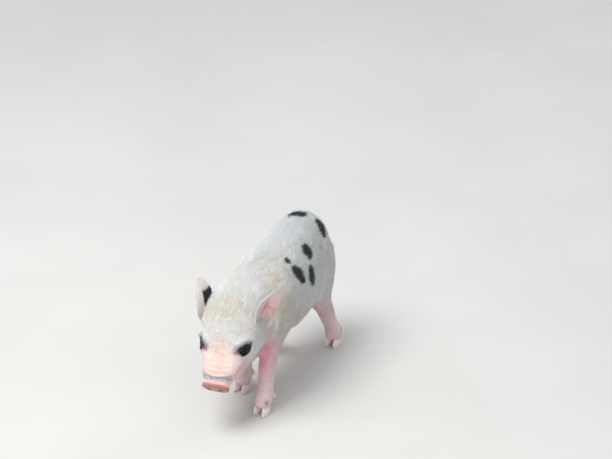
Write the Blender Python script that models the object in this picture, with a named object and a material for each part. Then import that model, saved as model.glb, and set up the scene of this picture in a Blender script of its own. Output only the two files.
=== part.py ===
"""Miniature piglet, standing with its head lowered: a life-size still model.

Units are metres. The piglet faces -Y, its left side is +X, and it stands on z = 0.
Places are given as forward, left and up of the point between its fore feet, and the
whole is moved at the end so that the middle of its outline on the floor is the origin.
"""

import math
from collections import namedtuple

import bmesh
import bpy
from mathutils import Matrix, Vector
from mathutils.bvhtree import BVHTree

# Clearance between pieces that touch, and the margin by which a leg's cut clears its skin
GAP = 0.0003
LEG_MARGIN = 0.0045
LEG_REACH = 0.0120
LEG_CUT_INNER = 0.010
LEG_CUT_TOP = 0.086
LEG_CUT_BELOW = 0.006

# How square a section is: 2 is an ellipse, more is fuller at its corners
TRUNK_FULLNESS = 2.15
UPPER_HEAD_FULLNESS = 2.3
JAW_FULLNESS = 2.0
PAD_FULLNESS = 2.1

# Parts of the skin that keep their own count of triangles, as limits in the head frame or of height
HEAD_ZONE_BACK = 0.112
HEAD_ZONE_LEFT = 0.050
HEAD_ZONE_UP = (-0.066, 0.030)
LEG_ZONE_TOP = 0.088

# Skin mesh: voxel size, rounds of smoothing at the creases, triangles kept
BODY_VOXEL = 0.0020
BLEND_ROUNDS = 10
HEAD_TRIANGLES = 3000
LEG_TRIANGLES = 1500
TRUNK_TRIANGLES = 2000

# Rings of a loft: points round each, and rings added between two named ones
RING_POINTS = 28
RING_STEPS = 4
FEW_STEPS = 2

# Head frame: origin on the upper rim of the snout, running back along the face
SNOUT_FORWARD = 0.0720
SNOUT_LEFT = 0.0020
SNOUT_UP = 0.0680
HEAD_PITCH = math.radians(45)
HEAD_TURN = math.radians(10)
HEAD_TILT = math.radians(5)

# Trunk rings: forward, sideways place, back line, widest line, belly line, half width
TrunkRing = namedtuple("TrunkRing", "forward left back widest belly half_width")
TRUNK = (
    TrunkRing(-0.1900, -0.008, 0.1580, 0.1450, 0.1320, 0.0120),
    TrunkRing(-0.1850, -0.008, 0.1690, 0.1440, 0.1180, 0.0220),
    TrunkRing(-0.1740, -0.007, 0.1810, 0.1400, 0.1000, 0.0310),
    TrunkRing(-0.1570, -0.006, 0.1895, 0.1340, 0.0860, 0.0365),
    TrunkRing(-0.1340, -0.004, 0.1920, 0.1220, 0.0710, 0.0400),
    TrunkRing(-0.1050, -0.002, 0.1870, 0.1150, 0.0640, 0.0420),
    TrunkRing(-0.0780, -0.001, 0.1810, 0.1150, 0.0650, 0.0420),
    TrunkRing(-0.0550, -0.001, 0.1750, 0.1220, 0.0750, 0.0400),
    TrunkRing(-0.0350, 0.000, 0.1650, 0.1260, 0.0900, 0.0350),
    TrunkRing(-0.0200, 0.000, 0.1480, 0.1240, 0.1030, 0.0250),
)

# Head rings in the head frame: back along the face, brow, widest and jaw lines, half width
HeadRing = namedtuple("HeadRing", "back brow widest jaw half_width")
UPPER_HEAD = (
    HeadRing(0.0000, -0.0005, -0.0130, -0.0250, 0.0155),
    HeadRing(0.0070, -0.0015, -0.0135, -0.0245, 0.0170),
    HeadRing(0.0200, -0.0005, -0.0160, -0.0285, 0.0230),
    HeadRing(0.0340, 0.0005, -0.0195, -0.0340, 0.0275),
    HeadRing(0.0480, 0.0035, -0.0225, -0.0410, 0.0325),
    HeadRing(0.0610, 0.0075, -0.0250, -0.0490, 0.0370),
    HeadRing(0.0750, 0.0105, -0.0280, -0.0560, 0.0410),
    HeadRing(0.0900, 0.0110, -0.0310, -0.0620, 0.0430),
    HeadRing(0.1050, 0.0070, -0.0330, -0.0640, 0.0410),
    HeadRing(0.1180, -0.0040, -0.0350, -0.0600, 0.0350),
    HeadRing(0.1270, -0.0170, -0.0350, -0.0520, 0.0230),
)
LOWER_JAW = (
    HeadRing(0.0105, -0.0230, -0.0265, -0.0305, 0.0095),
    HeadRing(0.0160, -0.0210, -0.0285, -0.0365, 0.0140),
    HeadRing(0.0290, -0.0220, -0.0330, -0.0445, 0.0200),
    HeadRing(0.0450, -0.0240, -0.0390, -0.0545, 0.0270),
    HeadRing(0.0620, -0.0270, -0.0450, -0.0630, 0.0325),
    HeadRing(0.0800, -0.0290, -0.0490, -0.0685, 0.0355),
    HeadRing(0.0960, -0.0310, -0.0490, -0.0680, 0.0310),
)

# Snout pad rings in front of the muzzle, with a rim that stands a little proud
SNOUT_PAD = (
    HeadRing(0.0066, -0.0012, -0.0135, -0.0245, 0.0150),
    HeadRing(0.0042, 0.0002, -0.0133, -0.0256, 0.0161),
    HeadRing(0.0018, 0.0008, -0.0132, -0.0262, 0.0168),
    HeadRing(-0.0002, 0.0002, -0.0132, -0.0258, 0.0164),
    HeadRing(-0.0014, -0.0018, -0.0132, -0.0242, 0.0146),
    HeadRing(-0.0018, -0.0050, -0.0132, -0.0215, 0.0112),
)
SNOUT_CUT = 0.0070
NOSTRIL_LEFT = 0.0068
NOSTRIL_UP = -0.0128
NOSTRIL_HALF_WIDTH = 0.0030
NOSTRIL_HALF_HEIGHT = 0.0040
NOSTRIL_LEAN = 0.35
# Nostril rings: back along the face, and share of the full size
NOSTRIL_RINGS = ((-0.0060, 1.25), (-0.0012, 1.05), (0.0026, 0.80), (0.0052, 0.40))

# Eyes in the head frame, and the skin built up round each of them
EYE = Vector((0.0520, 0.0220, -0.0085))
EYE_RADIUS = 0.0088
EYE_LOOK = Vector((-0.40, 0.78, 0.48)).normalized()
ORBIT_SIZE = Vector((0.0140, 0.0108, 0.0116))
LID_OPENING = Vector((0.0080, 0.0055, 0.0060))
LID_SLANT = math.radians(36)
LID_STAND_OFF = 0.0010

# Mouth line in the head frame: its angles round a middle between its corners, and its heights
MOUTH_MIDDLE = 0.0450
MOUTH_ANGLES = (0, 9, 18, 27, 38, 50, 62, 74, 86, 96)
MOUTH_FRONT_UP = -0.0272
MOUTH_CORNER_UP = -0.0290
MOUTH_HALF_HEIGHT = 0.0006
MOUTH_DEPTH = 0.0014
MOUTH_REACH = 0.08
MOUTH_TAPER = 0.4
MOUTH_TAPER_STEP = 0.3

# Ears: root in the head frame, then the ways (forward, left, up) to the tip and out of the cup
EAR_BASE = {"left": (0.0870, 0.0395, -0.0130), "right": (0.0870, -0.0345, -0.0110)}
EAR_TIP = {"left": (-0.08, 0.34, 0.93), "right": (-0.08, -0.27, 0.93)}
EAR_OPEN = {"left": (0.46, 0.85, -0.20), "right": (-0.05, -0.95, -0.12)}
EAR_LENGTH = 0.046
EAR_ROOT_DEPTH = 0.010
EAR_HALF_WIDTH = 0.0155
EAR_TIP_HALF_WIDTH = 0.0010
EAR_CUP = 0.0080
EAR_THICKNESS = 0.0020
EAR_THINNING = 0.45
EAR_BEND = 1.25
EAR_LEAN = 0.006
EAR_LEAN_SPAN = 0.9
EAR_RIM = 0.55
EAR_ROWS = 11
EAR_COLUMNS = 7
# Powers that put the widest place of the ear low, round its outline, and flatten its cup upwards
EAR_LOW = 0.8
EAR_ROUND = 0.7
EAR_FLATTEN = 0.7
# How far the thickness of the blade turns with its bend
EAR_FACING = 0.6

# Neck rings: forward, left, up, half width, half height, from skull to shoulders
NeckRing = namedtuple("NeckRing", "forward left up half_width half_height")
NECK = (
    NeckRing(0.0140, -0.010, 0.1000, 0.0320, 0.0280),
    NeckRing(-0.0080, -0.008, 0.1170, 0.0370, 0.0360),
    NeckRing(-0.0320, -0.004, 0.1300, 0.0390, 0.0420),
    NeckRing(-0.0620, -0.001, 0.1330, 0.0400, 0.0450),
)

# Cuts between head, neck and trunk: a point and the way the front piece lies
HEAD_CUT = ((-0.0120, 0.1300), 0.10)
NECK_CUT = ((-0.0420, 0.1300), -0.35)

# Feet: where each stands, forward and left, and how far its knee or stifle swings forward
Stance = namedtuple("Stance", "forward left swing")
FORE_STANCE = {"left": Stance(0.000, 0.029, 0.006), "right": Stance(-0.033, 0.018, -0.002)}
HIND_STANCE = {"left": Stance(-0.181, 0.027, 0.000), "right": Stance(-0.130, 0.029, 0.010)}
SIDES = {"left": 1, "right": -1}

# Claws: two to a foot, and two dew claws above them
CLAW_HALF_WIDTH = 0.0042
CLAW_HALF_LENGTH = 0.0105
CLAW_APART = 0.0047
CLAW_SPLAY = math.radians(6)
CLAW_POINTS = 12
TOE_PINCH = 0.38
TOE_SHARP = 1.5
# Claw rings: up, share of the full size, and how far the ring lies behind the foot's middle
CLAW_RINGS = ((0.0, 1.0, 0.0010), (0.003, 1.03, 0.0006), (0.008, 0.98, -0.0008), (0.016, 0.90, -0.0030))
CORONET_FRONT = 0.0120
CORONET_HEEL = 0.0070
CLEFT_MIDDLE = Vector((0, -0.0130, 0.0060))
CLEFT_SIZE = Vector((0.0011, 0.0080, 0.0110))
FOOT_FORWARD = 0.0020
DEW_BEHIND = {"foreleg": 0.0118, "hindleg": 0.0080}
DEW_RADIUS = 0.0028
DEW_LENGTH = 0.0085
DEW_APART = 0.0058
DEW_UP = 0.0230
DEW_WAY = (0.25, 0.45, -0.85)
# Dew claw stations: share of its length, of its width and of its depth
DEW_SHAPE = ((0.0, 1.0, 1.0), (0.5, 0.95, 0.90), (1.0, 0.45, 0.40))

# Tail: path from its root as forward, left and up, and radius along it
TailRing = namedtuple("TailRing", "forward left up radius")
TAIL = (
    TailRing(-0.1800, -0.005, 0.1650, 0.0062),
    TailRing(-0.1900, -0.005, 0.1610, 0.0052),
    TailRing(-0.1985, -0.006, 0.1500, 0.0042),
    TailRing(-0.2010, -0.009, 0.1370, 0.0034),
    TailRing(-0.1990, -0.013, 0.1250, 0.0027),
    TailRing(-0.1995, -0.015, 0.1140, 0.0020),
)

# Finishes: colour and roughness
Finish = namedtuple("Finish", "colour roughness")
SKIN = Finish((0.86, 0.64, 0.58), 0.6)
PAD = Finish((0.80, 0.45, 0.38), 0.45)
HORN = Finish((0.78, 0.68, 0.60), 0.4)
EYE_FINISH = Finish((0.03, 0.02, 0.02), 0.1)


def place(forward, left, up):
    """A point given as forward, left and up, in the scene's axes."""
    return Vector((left, -forward, up))


def head_axes():
    """Columns: back along the face, left, and up off the face, in the scene's axes."""
    back = Vector((0, math.cos(HEAD_PITCH), math.sin(HEAD_PITCH)))
    up = Vector((0, -math.sin(HEAD_PITCH), math.cos(HEAD_PITCH)))
    tilt = Matrix.Rotation(-HEAD_TILT, 3, back)
    turn = Matrix.Rotation(HEAD_TURN, 3, "Z")
    level = Matrix((back, Vector((1, 0, 0)), up)).transposed()
    return turn @ tilt @ level


HEAD_AXES = head_axes()


def head_place(back, left, up):
    """A point of the head frame: back along the face, left of it, and up off it."""
    return place(SNOUT_FORWARD, SNOUT_LEFT, SNOUT_UP) + HEAD_AXES @ Vector((back, left, up))


def mirrored(point, sign):
    """A head-frame point on the left side, or its twin on the right."""
    return Vector((point[0], point[1] * sign, point[2]))


def clear_scene():
    for obj in list(bpy.data.objects):
        bpy.data.objects.remove(obj, do_unlink=True)


def object_from(bm, name):
    mesh = bpy.data.meshes.new(name)
    bm.to_mesh(mesh)
    bm.free()
    obj = bpy.data.objects.new(name, mesh)
    bpy.context.scene.collection.objects.link(obj)
    return obj


def paint(obj, finish):
    material = bpy.data.materials.new(obj.name)
    material.use_nodes = True
    shader = material.node_tree.nodes["Principled BSDF"]
    shader.inputs["Base Color"].default_value = (*finish.colour, 1)
    shader.inputs["Roughness"].default_value = finish.roughness
    obj.data.materials.clear()
    obj.data.materials.append(material)
    return obj


def between(rows, steps):
    """Rows of numbers with smooth in-between rows added, on a Catmull-Rom curve."""
    filled = []
    for i in range(len(rows) - 1):
        before = rows[max(i - 1, 0)]
        start, end = rows[i], rows[i + 1]
        after = rows[min(i + 2, len(rows) - 1)]
        for step in range(steps):
            t = step / steps
            filled.append(tuple(curve_point(*four, t) for four in zip(before, start, end, after)))
    filled.append(tuple(rows[-1]))
    return filled


def curve_point(before, start, end, after, t):
    bend = 2 * before - 5 * start + 4 * end - after
    twist = 3 * start - before - 3 * end + after
    return 0.5 * (2 * start + (end - before) * t + bend * t**2 + twist * t**3)


def oval(centre, side, up, half_width, rise, drop, fullness=2.0):
    """Points of an egg-shaped ring, with its own height above and below its widest line."""
    points = []
    for i in range(RING_POINTS):
        angle = 2 * math.pi * i / RING_POINTS
        across, along = math.cos(angle), math.sin(angle)
        across = math.copysign(abs(across) ** (2 / fullness), across)
        along = math.copysign(abs(along) ** (2 / fullness), along)
        height = rise if along > 0 else drop
        points.append(centre + side * (half_width * across) + up * (height * along))
    return points


def loft(name, rings):
    """A closed mesh object through rings of points."""
    bm = bmesh.new()
    rows = [[bm.verts.new(p) for p in ring] for ring in rings]
    for row, following in zip(rows, rows[1:]):
        for i in range(len(row)):
            j = (i + 1) % len(row)
            bm.faces.new((row[i], row[j], following[j], following[i]))
    bm.faces.new(reversed(rows[0]))
    bm.faces.new(rows[-1])
    bmesh.ops.recalc_face_normals(bm, faces=bm.faces)
    return object_from(bm, name)


def ball(name, centre, size, axes=Matrix.Identity(3), segments=20, rings=12):
    """An ellipsoid with its own size along each column of axes."""
    bm = bmesh.new()
    bmesh.ops.create_uvsphere(bm, u_segments=segments, v_segments=rings, radius=1)
    spread = axes.to_4x4() @ Matrix.Diagonal((*size, 1))
    bmesh.ops.transform(bm, matrix=Matrix.Translation(centre) @ spread, verts=bm.verts)
    bmesh.ops.recalc_face_normals(bm, faces=bm.faces)
    return object_from(bm, name)


def along_path(name, stations):
    """A tube through (centre, half width, half depth) stations, square to its own path."""
    rings = []
    for i, (centre, half_width, half_depth) in enumerate(stations):
        before = stations[max(i - 1, 0)][0]
        after = stations[min(i + 1, len(stations) - 1)][0]
        tangent = (after - before).normalized()
        side = Vector((1, 0, 0))
        side = (side - tangent * side.dot(tangent)).normalized()
        depth = side.cross(tangent).normalized()
        rings.append(oval(centre, side, depth, half_width, half_depth, half_depth))
    return loft(name, rings)


def apply_modifiers(obj):
    graph = bpy.context.evaluated_depsgraph_get()
    mesh = bpy.data.meshes.new_from_object(obj.evaluated_get(graph))
    obj.modifiers.clear()
    obj.data = mesh
    return obj


def boolean(obj, others, operation):
    """Joins or cuts obj with closed objects, which are then removed, and keeps its largest body."""
    collection = bpy.data.collections.new("operands")
    for other in others:
        collection.objects.link(other)
    modifier = obj.modifiers.new("boolean", "BOOLEAN")
    modifier.operand_type = "COLLECTION"
    modifier.collection = collection
    modifier.operation = operation
    modifier.solver = "EXACT"
    apply_modifiers(obj)
    for other in others:
        bpy.data.objects.remove(other, do_unlink=True)
    bpy.data.collections.remove(collection)
    return keep_largest(obj)


def keep_largest(obj):
    """Drops every loose body but the one with the most faces."""
    bm = bmesh.new()
    bm.from_mesh(obj.data)
    unseen = set(bm.verts)
    bodies = []
    while unseen:
        start = unseen.pop()
        body, edge = {start}, [start]
        while edge:
            near = {e.other_vert(v) for v in edge for e in v.link_edges} - body
            body |= near
            edge = list(near)
        unseen -= body
        bodies.append(body)
    bodies.sort(key=len)
    for body in bodies[:-1]:
        bmesh.ops.delete(bm, geom=list(body), context="VERTS")
    bm.to_mesh(obj.data)
    bm.free()
    return obj


def copy_of(obj, name):
    twin = bpy.data.objects.new(name, obj.data.copy())
    bpy.context.scene.collection.objects.link(twin)
    return twin


def swollen(obj, name, by):
    """A copy of obj pushed out along its normals."""
    twin = copy_of(obj, name)
    displace = twin.modifiers.new("swell", "DISPLACE")
    displace.strength = by
    displace.mid_level = 0
    return apply_modifiers(twin)


def trunk():
    rings = []
    for forward, left, back, widest, belly, half_width in between(TRUNK, RING_STEPS):
        centre = place(forward, left, widest)
        rings.append(oval(centre, Vector((1, 0, 0)), Vector((0, 0, 1)),
                          half_width, back - widest, widest - belly, TRUNK_FULLNESS))
    return loft("trunk", rings)


def head_part(name, table, fullness, steps=RING_STEPS):
    side, up = HEAD_AXES.col[1].copy(), HEAD_AXES.col[2].copy()
    rings = []
    for back, brow, widest, jaw, half_width in between(table, steps):
        centre = head_place(back, 0, widest)
        rings.append(oval(centre, side, up, half_width, brow - widest, widest - jaw, fullness))
    return loft(name, rings)


def neck():
    rows = between(NECK, RING_STEPS)
    return along_path("neck_core", [(place(f, s, u), width, height) for f, s, u, width, height in rows])


def orbit(side):
    """The mound of brow and lids that the eyeball sits in."""
    sign = SIDES[side]
    return ball("orbit_" + side, head_place(*mirrored(EYE, sign)), ORBIT_SIZE, HEAD_AXES)


# Limb rings: forward, left, up, half width, half depth
LimbRing = namedtuple("LimbRing", "forward left up half_width half_depth")


def foreleg_rings(stance):
    """Rings of a fore leg from shoulder blade to foot."""
    f, s, swing = stance
    return (
        LimbRing(-0.0560 + swing, 0.0235, 0.150, 0.0140, 0.0230),
        LimbRing(-0.0530 + swing, 0.0270, 0.128, 0.0150, 0.0260),
        LimbRing(-0.0480 + swing, 0.0280, 0.106, 0.0145, 0.0215),
        LimbRing(f * 0.35 - 0.0300 + swing, s * 0.4 + 0.0170, 0.084, 0.0120, 0.0145),
        LimbRing(f * 0.80 - 0.0100, s * 0.8 + 0.0055, 0.054, 0.0105, 0.0115),
        LimbRing(f * 0.95 - 0.0060, s + 0.0010, 0.036, 0.0096, 0.0100),
        LimbRing(f - 0.0030, s, 0.021, 0.0104, 0.0112),
        LimbRing(f + 0.0010, s, 0.010, 0.0103, 0.0122),
        LimbRing(f + 0.0020, s, 0.003, 0.0095, 0.0115),
    )


def hindleg_rings(stance):
    """Rings of a hind leg from hip to foot."""
    f, s, swing = stance
    return (
        LimbRing(-0.1440 + swing, 0.0180, 0.156, 0.0150, 0.0280),
        LimbRing(-0.1480 + swing, 0.0200, 0.132, 0.0165, 0.0340),
        LimbRing(-0.1470 + swing, 0.0225, 0.108, 0.0165, 0.0310),
        LimbRing(-0.1460 + swing, 0.0245, 0.088, 0.0140, 0.0205),
        LimbRing(f * 0.5 - 0.0650 + swing * 0.5, s * 0.5 + 0.0105, 0.070, 0.0110, 0.0140),
        LimbRing(f + 0.0150, s - 0.0030, 0.052, 0.0100, 0.0120),
        LimbRing(f + 0.0090, s - 0.0015, 0.036, 0.0094, 0.0102),
        LimbRing(f + 0.0020, s, 0.021, 0.0102, 0.0113),
        LimbRing(f + 0.0020, s, 0.010, 0.0103, 0.0125),
        LimbRing(f + 0.0030, s, 0.003, 0.0095, 0.0115),
    )


def limb(name, table, sign):
    stations = []
    for forward, left, up, half_width, half_depth in between(table, RING_STEPS):
        stations.append((place(forward, left * sign, up), half_width, half_depth))
    return along_path(name, stations)


def limb_cutter(table, sign):
    """The closed shape, of level rings, that a leg is cut out of the skin with."""
    rings = []
    for forward, left, up, half_width, half_depth in between(table, FEW_STEPS):
        outer = left + half_width + LEG_REACH
        inner = left - half_width - LEG_MARGIN
        if up > LEG_CUT_TOP:
            inner = max(inner, LEG_CUT_INNER)
        width, depth = (outer - inner) / 2, half_depth + LEG_MARGIN
        centre = place(forward, (outer + inner) / 2 * sign, up)
        rings.append(oval(centre, Vector((1, 0, 0)), Vector((0, 1, 0)), width, depth, depth)[::2])
    rings.append([point - Vector((0, 0, LEG_CUT_BELOW)) for point in rings[-1]])
    return loft("cutter", rings)


def fused(parts):
    """One skin over overlapping closed shapes, smooth at the creases, with more detail on the head."""
    bm = bmesh.new()
    for part in parts:
        bm.from_mesh(part.data)
        bpy.data.objects.remove(part, do_unlink=True)
    body = object_from(bm, "body")
    remesh = body.modifiers.new("remesh", "REMESH")
    remesh.mode = "VOXEL"
    remesh.voxel_size = BODY_VOXEL
    smooth = body.modifiers.new("smooth", "SMOOTH")
    smooth.factor = 0.5
    smooth.iterations = BLEND_ROUNDS
    triangulate = body.modifiers.new("triangulate", "TRIANGULATE")
    triangulate.min_vertices = 4
    apply_modifiers(body)
    thin(body, on_head, HEAD_TRIANGLES)
    thin(body, on_legs, LEG_TRIANGLES)
    thin(body, on_trunk, TRUNK_TRIANGLES)
    return body


def on_head(point):
    back, left, up = HEAD_AXES.transposed() @ (point - head_place(0, 0, 0))
    low, high = HEAD_ZONE_UP
    return back < HEAD_ZONE_BACK and abs(left) < HEAD_ZONE_LEFT and low < up < high


def on_legs(point):
    return point.z < LEG_ZONE_TOP and not on_head(point)


def on_trunk(point):
    return not on_legs(point) and not on_head(point)


def thin(body, inside, triangles):
    """Leaves about this many triangles in one zone of the skin, and the rest as it is."""
    points = [vertex.co for vertex in body.data.vertices]
    chosen = {i for i, point in enumerate(points) if inside(point)}
    now = sum(all(i in chosen for i in face.vertices) for face in body.data.polygons)
    group = body.vertex_groups.new(name="zone")
    group.add(list(chosen), 1.0, "REPLACE")
    decimate = body.modifiers.new("decimate", "DECIMATE")
    decimate.ratio = 1 - max(now - triangles, 0) / len(body.data.polygons)
    decimate.vertex_group = "zone"
    decimate.use_collapse_triangulate = True
    apply_modifiers(body)
    body.vertex_groups.clear()


def slab(name, point, normal, reach=0.4):
    """A big box with one face on a plane, lying on the side that the normal points to."""
    bm = bmesh.new()
    bmesh.ops.create_cube(bm, size=reach)
    turn = normal.normalized().to_track_quat("Z", "Y").to_matrix().to_4x4()
    lift = Matrix.Translation((0, 0, reach / 2))
    bmesh.ops.transform(bm, matrix=Matrix.Translation(point) @ turn @ lift, verts=bm.verts)
    return object_from(bm, name)


def split(obj, name, point, normal):
    """Cuts obj on a plane into the piece in front, which is returned, and obj behind, a gap apart."""
    front = copy_of(obj, name)
    boolean(front, [slab("front", point + normal * (GAP / 2), normal)], "INTERSECT")
    boolean(obj, [slab("front", point - normal * (GAP / 2), normal)], "DIFFERENCE")
    return front


def plane_of(cut):
    (forward, up), slope = cut
    return place(forward, 0, up), place(1, 0, -slope).normalized()


def eye(side):
    sign = SIDES[side]
    centre = head_place(*mirrored(EYE, sign))
    bm = bmesh.new()
    bmesh.ops.create_icosphere(bm, subdivisions=3, radius=EYE_RADIUS)
    bmesh.ops.translate(bm, vec=centre, verts=bm.verts)
    return paint(object_from(bm, "eye_" + side), EYE_FINISH)


def lid_opening(side):
    """The almond that is cut through the lids in front of the eyeball."""
    sign = SIDES[side]
    look = HEAD_AXES @ mirrored(EYE_LOOK, sign)
    slit = HEAD_AXES @ Vector((math.cos(LID_SLANT), 0, -math.sin(LID_SLANT)))
    slit = (slit - look * slit.dot(look)).normalized()
    across = look.cross(slit)
    axes = Matrix((slit, across, look)).transposed()
    centre = head_place(*mirrored(EYE, sign)) + look * (EYE_RADIUS + LID_STAND_OFF)
    return ball("opening", centre, LID_OPENING, axes, 16, 8)


def socket(side):
    centre = head_place(*mirrored(EYE, SIDES[side]))
    return ball("socket", centre, Vector((1, 1, 1)) * (EYE_RADIUS + GAP), HEAD_AXES)


def mouth_path(head):
    """Points on the skin from the left corner of the mouth round its front to the right corner."""
    tree = BVHTree.FromObject(head, bpy.context.evaluated_depsgraph_get())
    angles = [sign * angle for sign in (1, -1) for angle in MOUTH_ANGLES if sign * angle or sign > 0]
    path = []
    for angle in sorted(angles, reverse=True):
        share = (angle / MOUTH_ANGLES[-1]) ** 2
        up = MOUTH_FRONT_UP + (MOUTH_CORNER_UP - MOUTH_FRONT_UP) * share
        turn = math.radians(angle)
        outward = HEAD_AXES @ Vector((-math.cos(turn), math.sin(turn), 0))
        middle = head_place(MOUTH_MIDDLE, 0, up)
        path.append(tree.ray_cast(middle + outward * MOUTH_REACH, -outward)[0])
    return path


def mouth_groove(head):
    """A thin bar along the mouth line, half sunk in the skin and tapered at the corners."""
    path = mouth_path(head)
    up = HEAD_AXES.col[2]
    last = len(path) - 1
    rings = []
    for i, point in enumerate(path):
        tangent = (path[min(i + 1, last)] - path[max(i - 1, 0)]).normalized()
        outward = up.cross(tangent).normalized()
        depth = MOUTH_DEPTH * min(1.0, MOUTH_TAPER + MOUTH_TAPER_STEP * min(i, last - i))
        rings.append(oval(point, outward, up, depth, MOUTH_HALF_HEIGHT, MOUTH_HALF_HEIGHT)[::4])
    return loft("mouth", rings)


def nostril(sign):
    """A blind oval hole that leans outwards and narrows inside."""
    side, up = HEAD_AXES.col[1].copy(), HEAD_AXES.col[2].copy()
    lean = (up + side * (NOSTRIL_LEAN * sign)).normalized()
    across = (side - lean * side.dot(lean)).normalized()
    rings = []
    for back, share in NOSTRIL_RINGS:
        centre = head_place(back, NOSTRIL_LEFT * sign, NOSTRIL_UP)
        height = NOSTRIL_HALF_HEIGHT * share
        rings.append(oval(centre, across, lean, NOSTRIL_HALF_WIDTH * share, height, height)[::2])
    return loft("nostril", rings)


def snout_pad():
    pad = head_part("snout", SNOUT_PAD, PAD_FULLNESS, steps=1)
    boolean(pad, [nostril(1), nostril(-1)], "DIFFERENCE")
    return paint(pad, PAD)


def ear_frame(side):
    """Root, way to the tip, way across the blade, and the way that the cup opens."""
    root = head_place(*EAR_BASE[side])
    tip = place(*EAR_TIP[side]).normalized()
    open_way = place(*EAR_OPEN[side])
    open_way = (open_way - tip * open_way.dot(tip)).normalized()
    return root, tip, tip.cross(open_way), open_way


def ear_line(frame, t, layer):
    """Points across the ear at a share t of its length, on its front layer (1) or its rear one (-1)."""
    root, tip, across, open_way = frame
    along = -EAR_ROOT_DEPTH + (EAR_LENGTH + EAR_ROOT_DEPTH) * t
    outline = max(math.sin(math.pi * t**EAR_LOW), 0) ** EAR_ROUND
    width = EAR_HALF_WIDTH * outline + EAR_TIP_HALF_WIDTH
    cup = EAR_CUP * (1 - t) ** EAR_FLATTEN
    lean = -EAR_LEAN * math.sin(math.pi * t * EAR_LEAN_SPAN)
    thickness = EAR_THICKNESS * (1.0 - EAR_THINNING * t)
    points = []
    for column in range(EAR_COLUMNS + 1):
        bend = (2 * column / EAR_COLUMNS - 1) * EAR_BEND
        rim = 1.0 if 0 < column < EAR_COLUMNS else 1.0 - EAR_RIM
        out = across * (width * math.sin(bend) / math.sin(EAR_BEND))
        back = open_way * (cup * (1 - math.cos(bend)) + lean)
        normal = (open_way * math.cos(bend) - across * math.sin(bend) * EAR_FACING).normalized()
        points.append(root + tip * along + out + back + normal * (thickness * rim * layer / 2))
    return points


def ear(side):
    """A pointed leaf bent into a cup, thicker at its root."""
    frame = ear_frame(side)
    shares = [row / EAR_ROWS for row in range(EAR_ROWS + 1)]
    bm = bmesh.new()
    front = [[bm.verts.new(point) for point in ear_line(frame, t, 1)] for t in shares]
    rear = [[bm.verts.new(point) for point in ear_line(frame, t, -1)] for t in shares]
    for lines in (front, rear):
        for lower, upper in zip(lines, lines[1:]):
            for a, b, c, d in zip(lower, lower[1:], upper[1:], upper):
                bm.faces.new((a, b, c, d))
    for line in (0, EAR_COLUMNS):
        for i in range(EAR_ROWS):
            bm.faces.new((front[i][line], front[i + 1][line], rear[i + 1][line], rear[i][line]))
    for row in (0, EAR_ROWS):
        for i in range(EAR_COLUMNS):
            bm.faces.new((front[row][i], front[row][i + 1], rear[row][i + 1], rear[row][i]))
    bmesh.ops.recalc_face_normals(bm, faces=bm.faces)
    return paint(object_from(bm, "ear_" + side), SKIN)


def coronet(foot):
    """The sloping plane where the hoof meets the skin, as a point and its upward normal."""
    rise = (CORONET_FRONT - CORONET_HEEL) / (2 * CLAW_HALF_LENGTH)
    return foot + Vector((0, 0, (CORONET_FRONT + CORONET_HEEL) / 2)), Vector((0, rise, 1)).normalized()


def claw(name, foot, turn):
    """Half of a cloven hoof, flat underneath and pointed at the toe."""
    rings = []
    for up, grow, shift in CLAW_RINGS:
        ring = []
        for i in range(CLAW_POINTS):
            angle = 2 * math.pi * i / CLAW_POINTS
            forward = math.cos(angle) * CLAW_HALF_LENGTH
            pinch = 1 - TOE_PINCH * max(0.0, math.cos(angle)) ** TOE_SHARP
            sideways = math.sin(angle) * CLAW_HALF_WIDTH * pinch
            ring.append(Vector((sideways * grow, -(forward * grow + shift), up)))
        rings.append(ring)
    spin = Matrix.Rotation(turn, 3, "Z")
    return loft(name, [[foot + spin @ point for point in ring] for ring in rings])


def dew_claw(name, root, way):
    """A small cone that hangs behind the foot."""
    rings = []
    side = Vector((1, 0, 0))
    side = (side - way * side.dot(way)).normalized()
    depth = side.cross(way)
    for along, width, thickness in DEW_SHAPE:
        centre = root + way * (DEW_LENGTH * along)
        half_depth = DEW_RADIUS * thickness
        rings.append(oval(centre, side, depth, DEW_RADIUS * width, half_depth, half_depth)[::3])
    return loft(name, rings)


def foot_pieces(limb_name, leg, stance, sign):
    """Cuts the leg's foot at the coronet, and adds its claws and dew claws as pieces of their own."""
    foot = place(stance.forward + FOOT_FORWARD, stance.left * sign, 0)
    point, normal = coronet(foot)
    boolean(leg, [slab("below", point + normal * (GAP / 2), -normal)], "DIFFERENCE")
    boolean(leg, [ball("cleft", foot + CLEFT_MIDDLE, CLEFT_SIZE, segments=12, rings=8)], "DIFFERENCE")
    for place_name, way in (("outer", sign), ("inner", -sign)):
        centre = foot + Vector((CLAW_APART * way, 0, 0))
        piece = claw(f"claw_{limb_name}_{place_name}", centre, CLAW_SPLAY * way)
        boolean(piece, [slab("above", point - normal * (GAP / 2), normal)], "DIFFERENCE")
        paint(piece, HORN)
        root = foot + Vector((DEW_APART * way, DEW_BEHIND[limb_name.split("_")[0]], DEW_UP))
        way_down = Vector((DEW_WAY[0] * way, *DEW_WAY[1:])).normalized()
        dew = dew_claw(f"dew_claw_{limb_name}_{place_name}", root, way_down)
        boolean(dew, [swollen(leg, "leg_clear", GAP)], "DIFFERENCE")
        paint(dew, HORN)


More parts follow.
